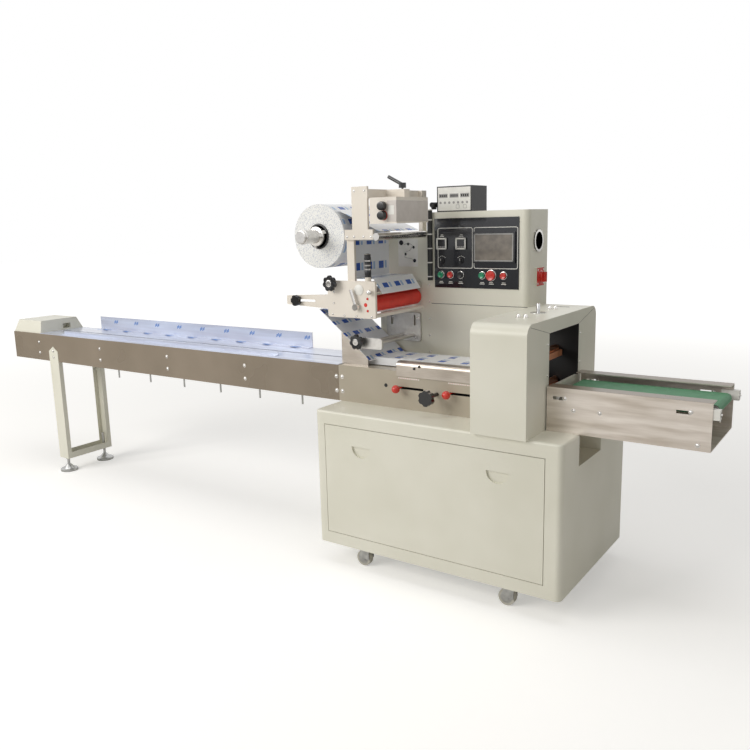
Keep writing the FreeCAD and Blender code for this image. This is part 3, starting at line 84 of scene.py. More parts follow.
def weather(tree, bsdf, place, grain, stretch=(1, 1, 1), detail=3.0, tones=None, span=(0.3, 0.7), gloss=None,
            relief=None, under=None):
    # one field of noise, its grains about so many millimetres wide and longer along an axis where stretch
    # is above 1, drives the tone, the gloss and the relief; under is a coarser field that adds to the tone
    scale = [1 / (grain * mm * share) for share in stretch]
    spread = addNode(tree, "ShaderNodeMapping", {"Scale": scale}, {"Vector": place})
    field = addNode(tree, "ShaderNodeTexNoise", {"Scale": 1.0, "Detail": detail},
                    {"Vector": spread.outputs[0]}).outputs["Fac"]
    if tones:
        tone = field
        if under is not None:
            tone = addNode(tree, "ShaderNodeMath", {"operation": "MULTIPLY_ADD", 1: lineShare},
                           {0: field, 2: under}).outputs[0]
        ramp = addNode(tree, "ShaderNodeValToRGB", links={"Fac": tone})
        for stop, position, shade in zip(ramp.color_ramp.elements, span, tones):
            stop.position = position
            stop.color = hexColour(shade)
        tree.links.new(ramp.outputs[0], bsdf.inputs["Base Color"])
    if gloss:
        share = addNode(tree, "ShaderNodeMapRange", {"To Min": gloss[0], "To Max": gloss[1]}, {"Value": field})
        tree.links.new(share.outputs[0], bsdf.inputs["Roughness"])
    if relief:
        depth, strength = relief
        bump = addNode(tree, "ShaderNodeBump", {"Distance": depth * mm, "Strength": strength},
                       {"Height": field})
        tree.links.new(bump.outputs[0], bsdf.inputs["Normal"])
    return field


def enamel(name, shade, tint, roughness=0.34):
    # sprayed and baked enamel on sheet steel: satin, with a faint orange peel and slow changes of tone
    material, *surface = newMaterial(name, Roughness=roughness, IOR=1.5)
    weather(*surface, 260, detail=2.0, tones=(tint, shade), gloss=(roughness - 0.05, roughness + 0.06))
    weather(*surface, 3.0, detail=1.0, relief=(0.15, 0.35))
    return material


def brushedMetal(name, shade, tint, stretch, roughness=0.3):
    # metal rubbed in one direction: fine lines along it, drawn coarser than real so that they show
    material, *surface = newMaterial(name, Metallic=1.0, Roughness=roughness)
    clouds = weather(*surface, 90, (2, 1, 1), 2.0)
    weather(*surface, 1.2, stretch, 2.0, (tint, shade), (0.45, 0.95), (roughness - 0.08, roughness + 0.12),
            (0.08, 0.3), clouds)
    return material


def plainMetal(name, shade, tint, roughness):
    # turned, plated or ground metal: bright, with small smears in its gloss
    material, *surface = newMaterial(name, Metallic=1.0, Roughness=roughness)
    weather(*surface, 22, detail=4.0, tones=(tint, shade), gloss=(roughness * 0.7, roughness * 1.5))
    return material


def plastic(name, shade, tint, roughness, grain=1.4, depth=0.06, coat=0.0):
    # moulded plastic or rubber: a fine grain from the mould and a little unevenness of tone
    material, *surface = newMaterial(name, Roughness=roughness, IOR=1.49, Coat_Weight=coat)
    weather(*surface, 34, tones=(tint, shade))
    weather(*surface, grain, detail=1.0, relief=(depth, 0.5))
    return material


def steelInWornFoil(name):
    # stainless sheet still in its protective foil: long soft waves in the reflection
    material, *surface = newMaterial(name, Metallic=0.75, Roughness=0.34)
    weather(*surface, 26, (9, 1, 1), tones=("C9BEB2", "F0E8E0"), relief=(1.2, 0.35))
    return material


def steelInMilkyFoil(name):
    # polished sheet under pale protective foil: milky, with long soft folds in its shine
    material, *surface = newMaterial(name, Metallic=0.3, Roughness=0.3, Coat_Weight=0.5)
    weather(*surface, 40, (14, 1, 1), 2.0, ("BFC2D2", "DCE4F6"), relief=(0.6, 0.4))
    return material


filmPrint = {"boxes": (88, 0.42, 0.1), "lineGroups": (88, 0.16, 0.62), "rows": (105, 0.3, 0.2)}


def printedWeb(name):
    # white polypropylene film with plain blue boxes and pale line groups repeated along and across the web;
    # each band is a pitch in mm, and the share of it that is inked and where the ink begins
    material, tree, bsdf, place = newMaterial(name, Roughness=0.24, IOR=1.49)
    parts = addNode(tree, "ShaderNodeSeparateXYZ", links={0: place})
    along = addNode(tree, "ShaderNodeMath", {"operation": "SUBTRACT"},
                    {0: parts.outputs["Z"], 1: parts.outputs["X"]}).outputs[0]
    masks = []
    for columns in (filmPrint["boxes"], filmPrint["lineGroups"]):
        inked = []
        for source, (pitch, part, begin) in ((parts.outputs["Y"], columns), (along, filmPrint["rows"])):
            repeats = addNode(tree, "ShaderNodeMath", {"operation": "MULTIPLY", 1: 1 / (pitch * mm)}, {0: source})
            phase = addNode(tree, "ShaderNodeMath", {"operation": "FRACT"}, {0: repeats.outputs[0]})
            inked.append(addNode(tree, "ShaderNodeMath",
                                 {"operation": "COMPARE", 1: begin + part / 2, 2: part / 2},
                                 {0: phase.outputs[0]}).outputs[0])
        masks.append(addNode(tree, "ShaderNodeMath", {"operation": "MULTIPLY"},
                             {0: inked[0], 1: inked[1]}).outputs[0])
    pale = addNode(tree, "ShaderNodeMix", {"data_type": "RGBA", 6: hexColour("F1F3F6"), 7: hexColour("A9C4E4")},
                   {0: masks[1]})
    blue = addNode(tree, "ShaderNodeMix", {"data_type": "RGBA", 7: hexColour("3D63B8")},
                   {0: masks[0], 6: pale.outputs[2]})
    tree.links.new(blue.outputs[2], bsdf.inputs["Base Color"])
    weather(tree, bsdf, place, 30, (1, 4, 1), relief=(0.8, 0.3))
    return material


def woundWebEdge(name):
    # the sheared edges of a wound web: white layers with grey specks where the print shows through
    material, tree, bsdf, place = newMaterial(name, Roughness=0.45, IOR=1.49)
    weather(tree, bsdf, place, 5, detail=4.0, tones=("C9CDD6", "F4F4F1"), span=(0.36, 0.52))
    layers = addNode(tree, "ShaderNodeTexWave", {"wave_type": "RINGS", "rings_direction": "Y", "Scale": 60.0},
                     {"Vector": place})
    ridges = addNode(tree, "ShaderNodeBump", {"Distance": 0.2 * mm, "Strength": 0.3},
                     {"Height": layers.outputs["Fac"]})
    tree.links.new(ridges.outputs[0], bsdf.inputs["Normal"])
    return material


# each finish: how it is made, its lighter and darker tone, then the values its maker takes
recipes = {
    "creamEnamel": (enamel, "E8E6D9", "E0DECF"),
    "paleEnamel": (enamel, "EFE8DE", "E6DED2", 0.3),
    "greigeEnamel": (enamel, "B9B0A0", "AEA594", 0.3),
    "umberSheet": (enamel, "8F8272", "827666", 0.28),
    "foiledStainless": (steelInWornFoil,),
    "brushedStainless": (brushedMetal, "CFC7BD", "A79D92", (30, 1, 1), 0.32),
    "polishedStainless": (brushedMetal, "E2E2E2", "BEBEBE", (30, 1, 1), 0.2),
    "machinedAluminium": (brushedMetal, "D6D4D0", "B9B6B1", (12, 1, 12), 0.36),
    "chromedSteel": (plainMetal, "E3E1DE", "CFCCC8", 0.14),
    "zincSteel": (plainMetal, "C8C8C6", "A9A9A8", 0.34),
    "oiledSteel": (plainMetal, "6E6A66", "4B4845", 0.4),
    "copperAlloy": (plainMetal, "C88A62", "A96B46", 0.33),
    "greenBelt": (plastic, "4E8A63", "437C57", 0.55, 1.2, 0.2),
    "redSilicone": (plastic, "E93A2B", "DC3226", 0.42, 1.0),
    "blackRubber": (plastic, "262626", "1B1B1B", 0.6, 1.5),
    "blackBakelite": (plastic, "17171A", "0E0E10", 0.18, 2.5, 0.03, 0.4),
    "redPlastic": (plastic, "D9372B", "C92C22", 0.22, 2.5, 0.03, 0.3),
    "greenPlastic": (plastic, "1F9A6B", "178A5E", 0.22, 2.5, 0.03, 0.3),
    "blackPlastic": (plastic, "222225", "18181A", 0.4, 1.4),
    "whitePlastic": (plastic, "F2F1EC", "E6E5DF", 0.4, 1.6),
    "darkAcrylic": (plastic, "20222A", "17191F", 0.16, 4.0, 0.01, 0.5),
    "foilOverSteel": (steelInMilkyFoil,),
    "printedFilm": (printedWeb,),
    "woundFilmEdge": (woundWebEdge,),
    # near-black matte plastic set in slots, seams, the fan opening and the sealer housing as their painted shade
    "matteBlackSheet": (plastic, "101011", "0A0A0B", 0.5, 2.0),
    "screenGlass": (plastic, "8E867C", "6F6962", 0.2, 30, 0.4, 0.5),
    "blueInk": (plastic, "2F7FD2", "2A6FBC", 0.35),
    "greyPlastic": (plastic, "A9A8A6", "9B9A98", 0.4),
    "paleGreyPlastic": (plastic, "DAD3CE", "CFC8C2", 0.4),
    "greyTread": (plastic, "C9C6BC", "B5B2A8", 0.5, 2.0, 0.1),
}
finishes = {name: maker(name, *values) for name, (maker, *values) in recipes.items()}

dress = {
    "creamEnamel": ["cabinet_body", "cabinet_front_panel", "end_seal_housing", "tower_column", "control_box",
                    "film_wall", "leg_frame", "tail_cover"],
    "paleEnamel": ["feed_unit_frame", "coder_bracket", "coder_unit"],
    "greigeEnamel": ["deck_frame"],
    "umberSheet": ["infeed_side_plates"],
    "foiledStainless": ["discharge_side_plates"],
    "brushedStainless": ["heater_bar_cover", "forming_plough"],
    "foilOverSteel": ["infeed_table_plates", "guide_rails"],
    "machinedAluminium": ["fin_seal_unit"],
    "chromedSteel": ["nip_roller", "guide_roller", "crank_lever"],
    "zincSteel": ["levelling_feet", "belt_rollers", "pusher_chain"] + [f"caster_fork_{n}" for n in range(1, 5)],
    "oiledSteel": ["chain_sprockets"],
    "copperAlloy": ["upper_sealing_jaw", "lower_sealing_jaw"],
    "greenBelt": ["discharge_belt"],
    "redSilicone": ["feed_roller"],
    "greyTread": [f"caster_wheel_{n}" for n in range(1, 5)],
    "blackRubber": ["wiring_loom"],
    "blackBakelite": ["upper_handwheel", "lower_handwheel", "star_knob", "lobed_knob", "coder_clamp_lever"],
    "redPlastic": ["ball_lever_1", "ball_lever_2", "stop_button", "run_button", "emergency_stop",
                   "main_switch"],
    "greenPlastic": ["start_button", "jog_button"],
    "blackPlastic": ["counter_box", "reset_button", "selector_switch_1", "selector_switch_2"],
    "darkAcrylic": ["control_panel"],
    "printedFilm": ["film_web"],
    "woundFilmEdge": ["film_reel"],
}
for finish, names in dress.items():
    for name in names:
        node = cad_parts[name]
        node.data.materials.clear()
        node.data.materials.append(finishes[finish])
print("CAD nodes dressed")

# Building blocks: everything is given in millimetres from a CAD node's lower, left, front corner.
boxes = {name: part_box(name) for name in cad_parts}


def at(node, x=0.0, y=0.0, z=0.0):
    return Vector(boxes[node][0]) + Vector((x, y, z)) * mm


def span(node, axis):
    # a node's extent along X, Y or Z, numbered 0 to 2, in millimetres
    return (boxes[node][1][axis] - boxes[node][0][axis]) / mm


def frontMiddle(node, y=0.0):
    # the middle of a node's front face, moved back by y
    low, high = boxes[node]
    return Vector(((low[0] + high[0]) / 2, low[1] + y * mm, (low[2] + high[2]) / 2))


def blockInto(bm, corner, size):
    low = Vector(corner)
    middle = low + Vector(size) * mm / 2
    spread = Matrix.Diagonal((*[length * mm for length in size], 1))
    bmesh.ops.create_cube(bm, size=1.0, matrix=Matrix.Translation(middle) @ spread)


turns = {"X": Vector((1, 0, 0)), "Y": Vector((0, 1, 0)), "Z": Vector((0, 0, 1)), "-Y": Vector((0, -1, 0))}


def latheInto(bm, centre, axis, profile, steps=40, wave=None):
    # profile points are (radius, along) in mm; wave gives each angle its own share of the radius
    aim = turns[axis]
    side = Vector((0, 0, 1)) if abs(aim.z) < 0.5 else Vector((1, 0, 0))
    third = aim.cross(side)
    rings = []
    for radius, along in profile:
        ring = []
        for step in range(steps):
            angle = 2 * math.pi * step / steps
            reach = radius * mm * (wave(angle) if wave else 1.0)
            ring.append(bm.verts.new(Vector(centre) + aim * along * mm + (side * math.cos(angle)
                                     + third * math.sin(angle)) * max(reach, 1e-6)))
        rings.append(ring)
    for before, after in zip(rings, rings[1:]):
        for step in range(steps):
            following = (step + 1) % steps
            bm.faces.new((before[step], before[following], after[following], after[step]))
    for ring in (rings[0], rings[-1]):
        bm.faces.new(ring)


def prismInto(bm, corners, depth):
    # a flat outline of points in metres, thickened by the vector depth
    first = [bm.verts.new(Vector(c)) for c in corners]
    second = [bm.verts.new(Vector(c) + Vector(depth)) for c in corners]
    count = len(first)
    bm.faces.new(first)
    bm.faces.new(second)
    for step in range(count):
        following = (step + 1) % count
        bm.faces.new((first[step], first[following], second[following], second[step]))


def ringFrameInto(bm, corner, width, height, line, thickness, radius):
    # a thin rounded frame in the XZ plane, as printed or set round a display
    def outline(inset):
        points = []
        for cx, cz, start in ((width - radius, height - radius, 0), (radius, height - radius, 90),
                              (radius, radius, 180), (width - radius, radius, 270)):
            for step in range(5):
                angle = math.radians(start + step * 22.5)
                points.append((cx + (radius - inset) * math.cos(angle), cz + (radius - inset) * math.sin(angle)))
        return points

    def lift(points, y):
        return [bm.verts.new(Vector(corner) + Vector((x, y, z)) * mm) for x, z in points]

    outer, inner = outline(0), outline(line)
    back, front = (lift(outer, 0), lift(inner, 0)), (lift(outer, -thickness), lift(inner, -thickness))
    count = len(outer)
    for step in range(count):
        following = (step + 1) % count
        for one, two in ((back[0], front[0]), (front[0], front[1]), (front[1], back[1]), (back[1], back[0])):
            bm.faces.new((one[step], one[following], two[following], two[step]))


def finishPiece(name, bm, finish, body=rootBody, replaced=(), bevel=0.0):
    bmesh.ops.remove_doubles(bm, verts=bm.verts, dist=1e-7)
    bmesh.ops.recalc_face_normals(bm, faces=bm.faces)
    mesh = bpy.data.meshes.new(name)
    bm.to_mesh(mesh)
    bm.free()
    mesh.materials.append(finishes[finish])
    for polygon in mesh.polygons:
        polygon.use_smooth = True
    mesh.set_sharp_from_angle(angle=sharpEdge)
    piece = bpy.data.objects.new(name, mesh)
    bpy.context.scene.collection.objects.link(piece)
    if bevel:
        softened = piece.modifiers.new("softened", "BEVEL")
        softened.width = bevel * mm
        softened.segments = 2
        softened.limit_method = "ANGLE"
        softened.angle_limit = math.radians(40)
    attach(piece, body)
    if replaced:
        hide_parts(*replaced)


def screwTree():
    # Geometry Nodes: a washer and a domed head on every point, turned to the point's "facing"
    tree = bpy.data.node_groups.new("screwHeads", "GeometryNodeTree")
    face = tree.interface
    face.new_socket("Points", in_out="INPUT", socket_type="NodeSocketGeometry")
    radius = face.new_socket("Head Radius", in_out="INPUT", socket_type="NodeSocketFloat")
    height = face.new_socket("Head Height", in_out="INPUT", socket_type="NodeSocketFloat")
    dressing = face.new_socket("Finish", in_out="INPUT", socket_type="NodeSocketMaterial")
    face.new_socket("Heads", in_out="OUTPUT", socket_type="NodeSocketGeometry")
    given = addNode(tree, "NodeGroupInput")
    washerRadius = addNode(tree, "ShaderNodeMath", {"operation": "MULTIPLY", 1: 1.35}, {0: given.outputs[1]})
    washer = addNode(tree, "GeometryNodeMeshCylinder", {"Vertices": 20, "Depth": 0.0016},
                     {"Radius": washerRadius.outputs[0]})
    dome = addNode(tree, "GeometryNodeMeshUVSphere", {"Segments": 18, "Rings": 10},
                   {"Radius": given.outputs[1]})
    share = addNode(tree, "ShaderNodeMath", {"operation": "DIVIDE"}, {0: given.outputs[2], 1: given.outputs[1]})
    flat = addNode(tree, "ShaderNodeCombineXYZ", {"X": 1.0, "Y": 1.0}, {"Z": share.outputs[0]})
    squat = addNode(tree, "GeometryNodeTransform",
                    links={"Geometry": dome.outputs[0], "Scale": flat.outputs[0]})
    head = addNode(tree, "GeometryNodeJoinGeometry")
    tree.links.new(washer.outputs[0], head.inputs[0])
    tree.links.new(squat.outputs[0], head.inputs[0])
    facing = addNode(tree, "GeometryNodeInputNamedAttribute", {"data_type": "FLOAT_VECTOR", "Name": "facing"})
    turned = addNode(tree, "FunctionNodeAlignRotationToVector", {"axis": "Z"}, {"Vector": facing.outputs[0]})
    spread = addNode(tree, "GeometryNodeInstanceOnPoints",
                     links={"Points": given.outputs[0], "Instance": head.outputs[0],
                            "Rotation": turned.outputs[0]})
    real = addNode(tree, "GeometryNodeRealizeInstances", links={0: spread.outputs[0]})
    dressed = addNode(tree, "GeometryNodeSetMaterial",
                      links={"Geometry": real.outputs[0], "Material": given.outputs[3]})
    addNode(tree, "NodeGroupOutput", links={0: dressed.outputs[0]})
    return tree, radius.identifier, height.identifier, dressing.identifier


screws = screwTree()


def screwRow(name, places, facing, headRadius=6.0, headHeight=4.5, finish="chromedSteel", body=rootBody):
    tree, radiusId, heightId, finishId = screws
    mesh = bpy.data.meshes.new(name + "Points")
    mesh.from_pydata([tuple(place) for place in places], [], [])
    mesh.attributes.new("facing", "FLOAT_VECTOR", "POINT")
    for item in mesh.attributes["facing"].data:
        item.vector = turns[facing]
    carrier = bpy.data.objects.new(name + "Carrier", mesh)
    bpy.context.scene.collection.objects.link(carrier)
    heads = carrier.modifiers.new("heads", "NODES")
    heads.node_group = tree
    heads[radiusId] = headRadius * mm
    heads[heightId] = headHeight * mm
    heads[finishId] = finishes[finish]
    ready = carrier.evaluated_get(bpy.context.evaluated_depsgraph_get())
    solid = bpy.data.meshes.new_from_object(ready)
    solid.name = name
    bpy.data.objects.remove(carrier)
    for polygon in solid.polygons:
        polygon.use_smooth = True
    solid.set_sharp_from_angle(angle=sharpEdge)
    piece = bpy.data.objects.new(name, solid)
    bpy.context.scene.collection.objects.link(piece)
    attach(piece, body)


# Control panel: printed frames, screen, controllers, push buttons and selectors
panelFace = {
    "plateFront": 7.0, "ink": 0.4, "frames": ((16, 82, 167, 170), (188, 82, 198, 170)), "frameLine": 2.6,
    "frameCorner": 9, "screen": (186, 106, 190, 127), "screenMargin": 12, "surround": 5,
    "controllers": (14, 106), "controllerLow": 162, "controllerSide": 48, "controllerRim": 6, "keyStep": 8.6,
    "buttonLabels": ((24, 8), (18, 11)), "selectors": (37, 129), "selectorRow": 114, "selectorArc": 20,
    "selectorLabels": ((221, 6), (215, 10)),
}
plateFront, ink = panelFace["plateFront"], panelFace["ink"]
frames = bmesh.new()
for left, low, width, height in panelFace["frames"]:
    ringFrameInto(frames, at("control_panel", left, plateFront, low), width, height,
                  panelFace["frameLine"], 0.5, panelFace["frameCorner"])
finishPiece("panelPrintedFrames", frames, "whitePlastic")

screen, surround = bmesh.new(), bmesh.new()
left, low, width, height = panelFace["screen"]
margin, rim = panelFace["screenMargin"], panelFace["surround"]
blockInto(screen, at("control_panel", left + margin, -0.5, low + margin),
          (width - 2 * margin, 1.0, height - 2 * margin))
finishPiece("touchScreenGlass", screen, "screenGlass", bevel=0.3)
ringFrameInto(surround, at("control_panel", left + margin - rim, 0, low + margin - rim),
              width - 2 * (margin - rim), height - 2 * (margin - rim), rim, 1.4, 3)
finishPiece("touchScreenSurround", surround, "greyPlastic")

bezels, windows, keys = bmesh.new(), bmesh.new(), bmesh.new()
low, side, rim = (panelFace[key] for key in ("controllerLow", "controllerSide", "controllerRim"))
for left in panelFace["controllers"]:
    ringFrameInto(bezels, at("control_panel", left, 0, low), side, side, rim, 1.6, 3)
    blockInto(windows, at("control_panel", left + rim, -0.6, low + 16), (side - 2 * rim, 1.0, side - 22))
    for key in range(4):
        blockInto(keys, at("control_panel", left + 8 + key * panelFace["keyStep"], -1.4, low + 8), (6, 2, 5))
finishPiece("controllerBezels", bezels, "whitePlastic")
finishPiece("controllerWindows", windows, "darkAcrylic", bevel=0.3)
finishPiece("controllerKeys", keys, "greyPlastic", bevel=0.4)

buttons = {
    "start_button": "greenPlastic", "stop_button": "redPlastic", "reset_button": "blackPlastic",
    "jog_button": "greenPlastic", "run_button": "redPlastic", "emergency_stop": "redPlastic",
}
rings, labels = bmesh.new(), bmesh.new()
for name, finish in buttons.items():
    centre = frontMiddle(name)
    radius = span(name, 0) / 2
    thick = 10.0 if name == "emergency_stop" else 7.0
    cap = bmesh.new()
    latheInto(cap, centre, "Y", [(radius * 0.45, 1.6), (radius * 0.72, 0.7), (radius * 0.9, 0.0),
                                 (radius, 1.2), (radius, thick), (4, thick), (4, thick + 14)], 40)
    finishPiece(name + "Cap", cap, finish, name, [name])
    latheInto(rings, (centre.x, at("control_panel", 0, plateFront).y, centre.z), "-Y",
              [(radius + 1.0, 0), (radius + 3.4, 0), (radius + 3.2, 2.6), (radius + 1.8, 3.0),
               (radius + 1.0, 2.6)], 40)
    across = (centre.x - boxes["control_panel"][0][0]) / mm
    for low, half in panelFace["buttonLabels"]:
        blockInto(labels, at("control_panel", across - half, plateFront - ink, low), (2 * half, ink, 2.6))
for across in panelFace["selectors"]:
    for step in range(-2, 3):
        angle, arc = math.radians(step * 24), panelFace["selectorArc"]
        blockInto(labels, at("control_panel", across + arc * math.sin(angle) - 2.5, plateFront - ink,
                             panelFace["selectorRow"] + arc * math.cos(angle) - 1), (5, ink, 2.0))
    for low, half in panelFace["selectorLabels"]:
        blockInto(labels, at("control_panel", across - half, plateFront - ink, low), (2 * half, ink, 2.4))
finishPiece("buttonRings", rings, "chromedSteel")
finishPiece("blankLabelBars", labels, "whitePlastic")
for name in ("selector_switch_1", "selector_switch_2"):
    centre = frontMiddle(name, 12)
    knob, mark = bmesh.new(), bmesh.new()
    latheInto(knob, centre, "-Y", [(4, -14), (4, 0), (11, 0), (11, 3.0), (9.6, 4.0)], 36)
    blockInto(knob, centre + Vector((-3.8, -12, -10.6)) * mm, (7.6, 9, 21.2))
    finishPiece(name + "Knob", knob, "blackPlastic", name, [name], 0.8)
    blockInto(mark, centre + Vector((-0.9, -12.4, 1)) * mm, (1.8, 0.6, 8.6))
    finishPiece(name + "Mark", mark, "whitePlastic", name)
print("control panel dressed")

# Counter box: a black case with a white face, three displays and rows of keys
counterFace = {
    "margin": 5, "displays": (10, 62, 112), "displaySize": (42, 17), "displayLow": 58, "digits": 4,
    "digitStep": 9.4, "keys": 7, "keyStep": 21, "keyRow": 38, "arrows": (92, 126),
}
sheet, displays, segments, keyRings = bmesh.new(), bmesh.new(), bmesh.new(), bmesh.new()
margin, level = counterFace["margin"], counterFace["displayLow"]
blockInto(sheet, at("counter_box", margin, -0.8, margin),
          (span("counter_box", 0) - 2 * margin, 1.0, span("counter_box", 2) - 2 * margin))
wide, tall = counterFace["displaySize"]
for left in counterFace["displays"]:
    blockInto(displays, at("counter_box", left, -1.2, level), (wide, 0.6, tall))
    for digit in range(counterFace["digits"]):
        blockInto(segments, at("counter_box", left + 4 + digit * counterFace["digitStep"], -1.5, level + 4),
                  (6, 0.4, 9))
for key in range(counterFace["keys"]):
    latheInto(keyRings, at("counter_box", 18 + key * counterFace["keyStep"], -0.8, counterFace["keyRow"]), "-Y",
              [(4.2, 0), (5.2, 0), (5.2, 0.5), (4.2, 0.5)], 20)
for left in counterFace["arrows"]:
    ringFrameInto(keyRings, at("counter_box", left, -0.8, 13), 16, 16, 1.2, 0.5, 3)
finishPiece("counterFaceSheet", sheet, "whitePlastic", bevel=0.3)
finishPiece("counterDisplays", displays, "greyPlastic", bevel=0.2)
finishPiece("counterKeyRings", keyRings, "greyPlastic")
finishPiece("counterDigits", segments, "darkAcrylic")
print("counter box dressed")

# Control box side: cooling fan behind its wire guard, and the main switch's plate
boxWidth = span("tower_column", 0)
fan = {
    "place": (boxWidth, 94, 264), "radius": 43, "blades": 5, "wires": (16, 25, 34, 43), "wire": 1.6,
    "blade": ((14, 0.0), (38, 0.15), (38, 0.75), (14, 0.5)), "spokes": (45, 135), "spokeReach": 50,
    "screwReach": 36,
}
fanCentre = at("control_box", *fan["place"])
dark, blades, guard = bmesh.new(), bmesh.new(), bmesh.new()
latheInto(dark, fanCentre, "X", [(2, 0), (fan["radius"], 0), (fan["radius"], 0.6), (2, 0.6)], 40)
for number in range(fan["blades"]):
    corners = []
    for reach, lead in fan["blade"]:
        angle = 2 * math.pi * number / fan["blades"] + lead
        corners.append(fanCentre + Vector((1.2, reach * math.cos(angle), reach * math.sin(angle))) * mm)
    prismInto(blades, corners, (1.2 * mm, 0, 0))
latheInto(blades, fanCentre, "X", [(2, 1), (13, 1), (13, 3), (10, 3.6), (2, 3.6)], 28)
for reach in fan["wires"]:
    outer = reach + fan["wire"]
    latheInto(guard, fanCentre, "X", [(reach, 4), (outer, 4), (outer, 5.6), (reach, 5.6)], 44)
for angle in fan["spokes"]:
    spoke = Vector((0, math.cos(math.radians(angle)), math.sin(math.radians(angle))))
    across = Vector((0, -spoke.z, spoke.y))
    along, half = spoke * fan["spokeReach"], across * fan["wire"] / 2
    tips = [fanCentre + (Vector((4, 0, 0)) + along * end + half * edge) * mm
            for end, edge in ((-1, -1), (1, -1), (1, 1), (-1, 1))]
    prismInto(guard, tips, (1.4 * mm, 0, 0))
finishPiece("fanShadow", dark, "matteBlackSheet")
finishPiece("fanBlades", blades, "greyPlastic", bevel=0.2)
finishPiece("fanGuardWires", guard, "chromedSteel")
screwRow("fanGuardScrews", [fanCentre + Vector((1, y * fan["screwReach"], z * fan["screwReach"])) * mm
                            for y in (-1, 1) for z in (-1, 1)], "X", 3.0, 2.5)

switch = {"plateLow": (boxWidth + 8, 69, 80), "side": 74, "middle": (boxWidth + 8.8, 106, 117), "screws": (9, 65)}
plate, collar = bmesh.new(), bmesh.new()
plateLow = at("control_box", *switch["plateLow"])
blockInto(plate, plateLow, (0.8, switch["side"], switch["side"]))
finishPiece("mainSwitchPlate", plate, "redPlastic", bevel=0.3)
latheInto(collar, at("control_box", *switch["middle"]), "X",
          [(20.6, 0), (27, 0), (27, 1.4), (26, 2), (20.6, 2)], 40)
finishPiece("mainSwitchCollar", collar, "redPlastic")
screwRow("mainSwitchScrews", [plateLow + Vector((0.8, y, z)) * mm for y in switch["screws"]
                              for z in switch["screws"]], "X", 3.2, 2.0)
# a black strip along the seam where the control box meets the tower: painted shade in the gap
seam = bmesh.new()
blockInto(seam, at("tower_column", 0, -0.4, span("tower_column", 2) - 1), (boxWidth + 0.4, 0.8, 2.0))
finishPiece("controlBoxSeamShade", seam, "matteBlackSheet")
print("control box side dressed")

# End-seal housing: painted shade inside it and round its mouth, dome nuts, pin, and painted shade lines along the
# folds of the end plate
sealer = "end_seal_housing"
housing = {
    "cavity": (14, 159, 14, 202, 539, 391), "tunnel": (199, 499, 150, 353), "wall": 14, "skin": 0.8,
    "nuts": ((98, 192), (124, 196), (100, 485), (120, 493)), "pin": (108, 351), "slot": (84, 573, 62, 9),
    "foldEnds": ((30, 394), (665, 394)), "foldHalf": 0.6,
}
x0, y0, z0, x1, y1, z1 = housing["cavity"]
ty0, ty1, tz0, tz1 = housing["tunnel"]
skin, wall = housing["skin"], housing["wall"]
deep, tall = y1 - y0 - 2 * skin, z1 - z0 - 2 * skin
width, roof = span(sealer, 0), span(sealer, 2)
panels = [((x0, near, z0), (x1 - x0, skin, z1 - z0)) for near in (y0, y1 - skin)]
panels += [((x0, y0 + skin, level), (x1 - x0, deep, skin)) for level in (z1 - skin, z0)]
for side in (x0, x1 - skin):
    # round the mouth that the packs pass through
    panels += [((side, y0 + skin, z0 + skin), (skin, ty0 - y0 - skin, tall)),
               ((side, ty1, z0 + skin), (skin, y1 - ty1 - skin, tall)),
               ((side, ty0, tz1), (skin, ty1 - ty0, z1 - tz1 - skin)),
               ((side, ty0, z0 + skin), (skin, ty1 - ty0, tz0 - z0 - skin))]
insideShade, reveal, nuts, pin, mark, folds = (bmesh.new() for part in range(6))
# black panels all round the cavity: painted shade inside the housing
for corner, size in panels:
    blockInto(insideShade, at(sealer, *corner), size)
finishPiece("sealerInsideShade", insideShade, "matteBlackSheet")
# black strips on the cut edges of the mouth: painted shade
for near in (0, x1):
    for y, z, wide, high in ((ty0, tz0, skin, tz1 - tz0), (ty1 - skin, tz0, skin, tz1 - tz0),
                             (ty0 + skin, tz1 - skin, ty1 - ty0 - 2 * skin, skin)):
        blockInto(reveal, at(sealer, near, y, z), (wall, wide, high))
finishPiece("sealerMouthShade", reveal, "matteBlackSheet")
for place in housing["nuts"]:
    latheInto(nuts, at(sealer, *place, roof), "Z",
              [(11, 0), (11, 1.6), (8, 1.6), (8, 6), (7.2, 9), (5, 12), (2.2, 13.4), (0.4, 13.8)], 24)
finishPiece("housingDomeNuts", nuts, "chromedSteel")
latheInto(pin, at(sealer, *housing["pin"], roof), "Z",
          [(30, 0), (30, 2), (7, 2), (7, 34), (6, 36), (0.4, 36)], 36)
finishPiece("housingGuidePin", pin, "polishedStainless")
# a black plate on the roof where its slot is: painted shade of the slot
across, back, long, wide = housing["slot"]
blockInto(mark, at(sealer, across, back, roof - 0.2), (long, wide, 0.6))
# dark strips along the folds of the end plate's side face: painted shade at the folds
for near, far in zip(((ty0, tz1), (ty1, tz1)), housing["foldEnds"]):
    a, b = at(sealer, width, *near), at(sealer, width, *far)
    along = (b - a).normalized()
    half = Vector((0, -along.z, along.y)) * housing["foldHalf"] * mm
    prismInto(folds, [a - half, b - half, b + half, a + half], (0.3 * mm, 0, 0))
finishPiece("housingTopSlotShade", mark, "matteBlackSheet")
finishPiece("housingFoldShadeLines", folds, "oiledSteel")
screwRow("housingSideScrews", [at(sealer, width, y, z) for y in (ty0 - 14, ty1 + 16)
                               for z in (tz0 + 50, tz1 - 40)], "X", 3.4, 2.2)
print("housing dressed")

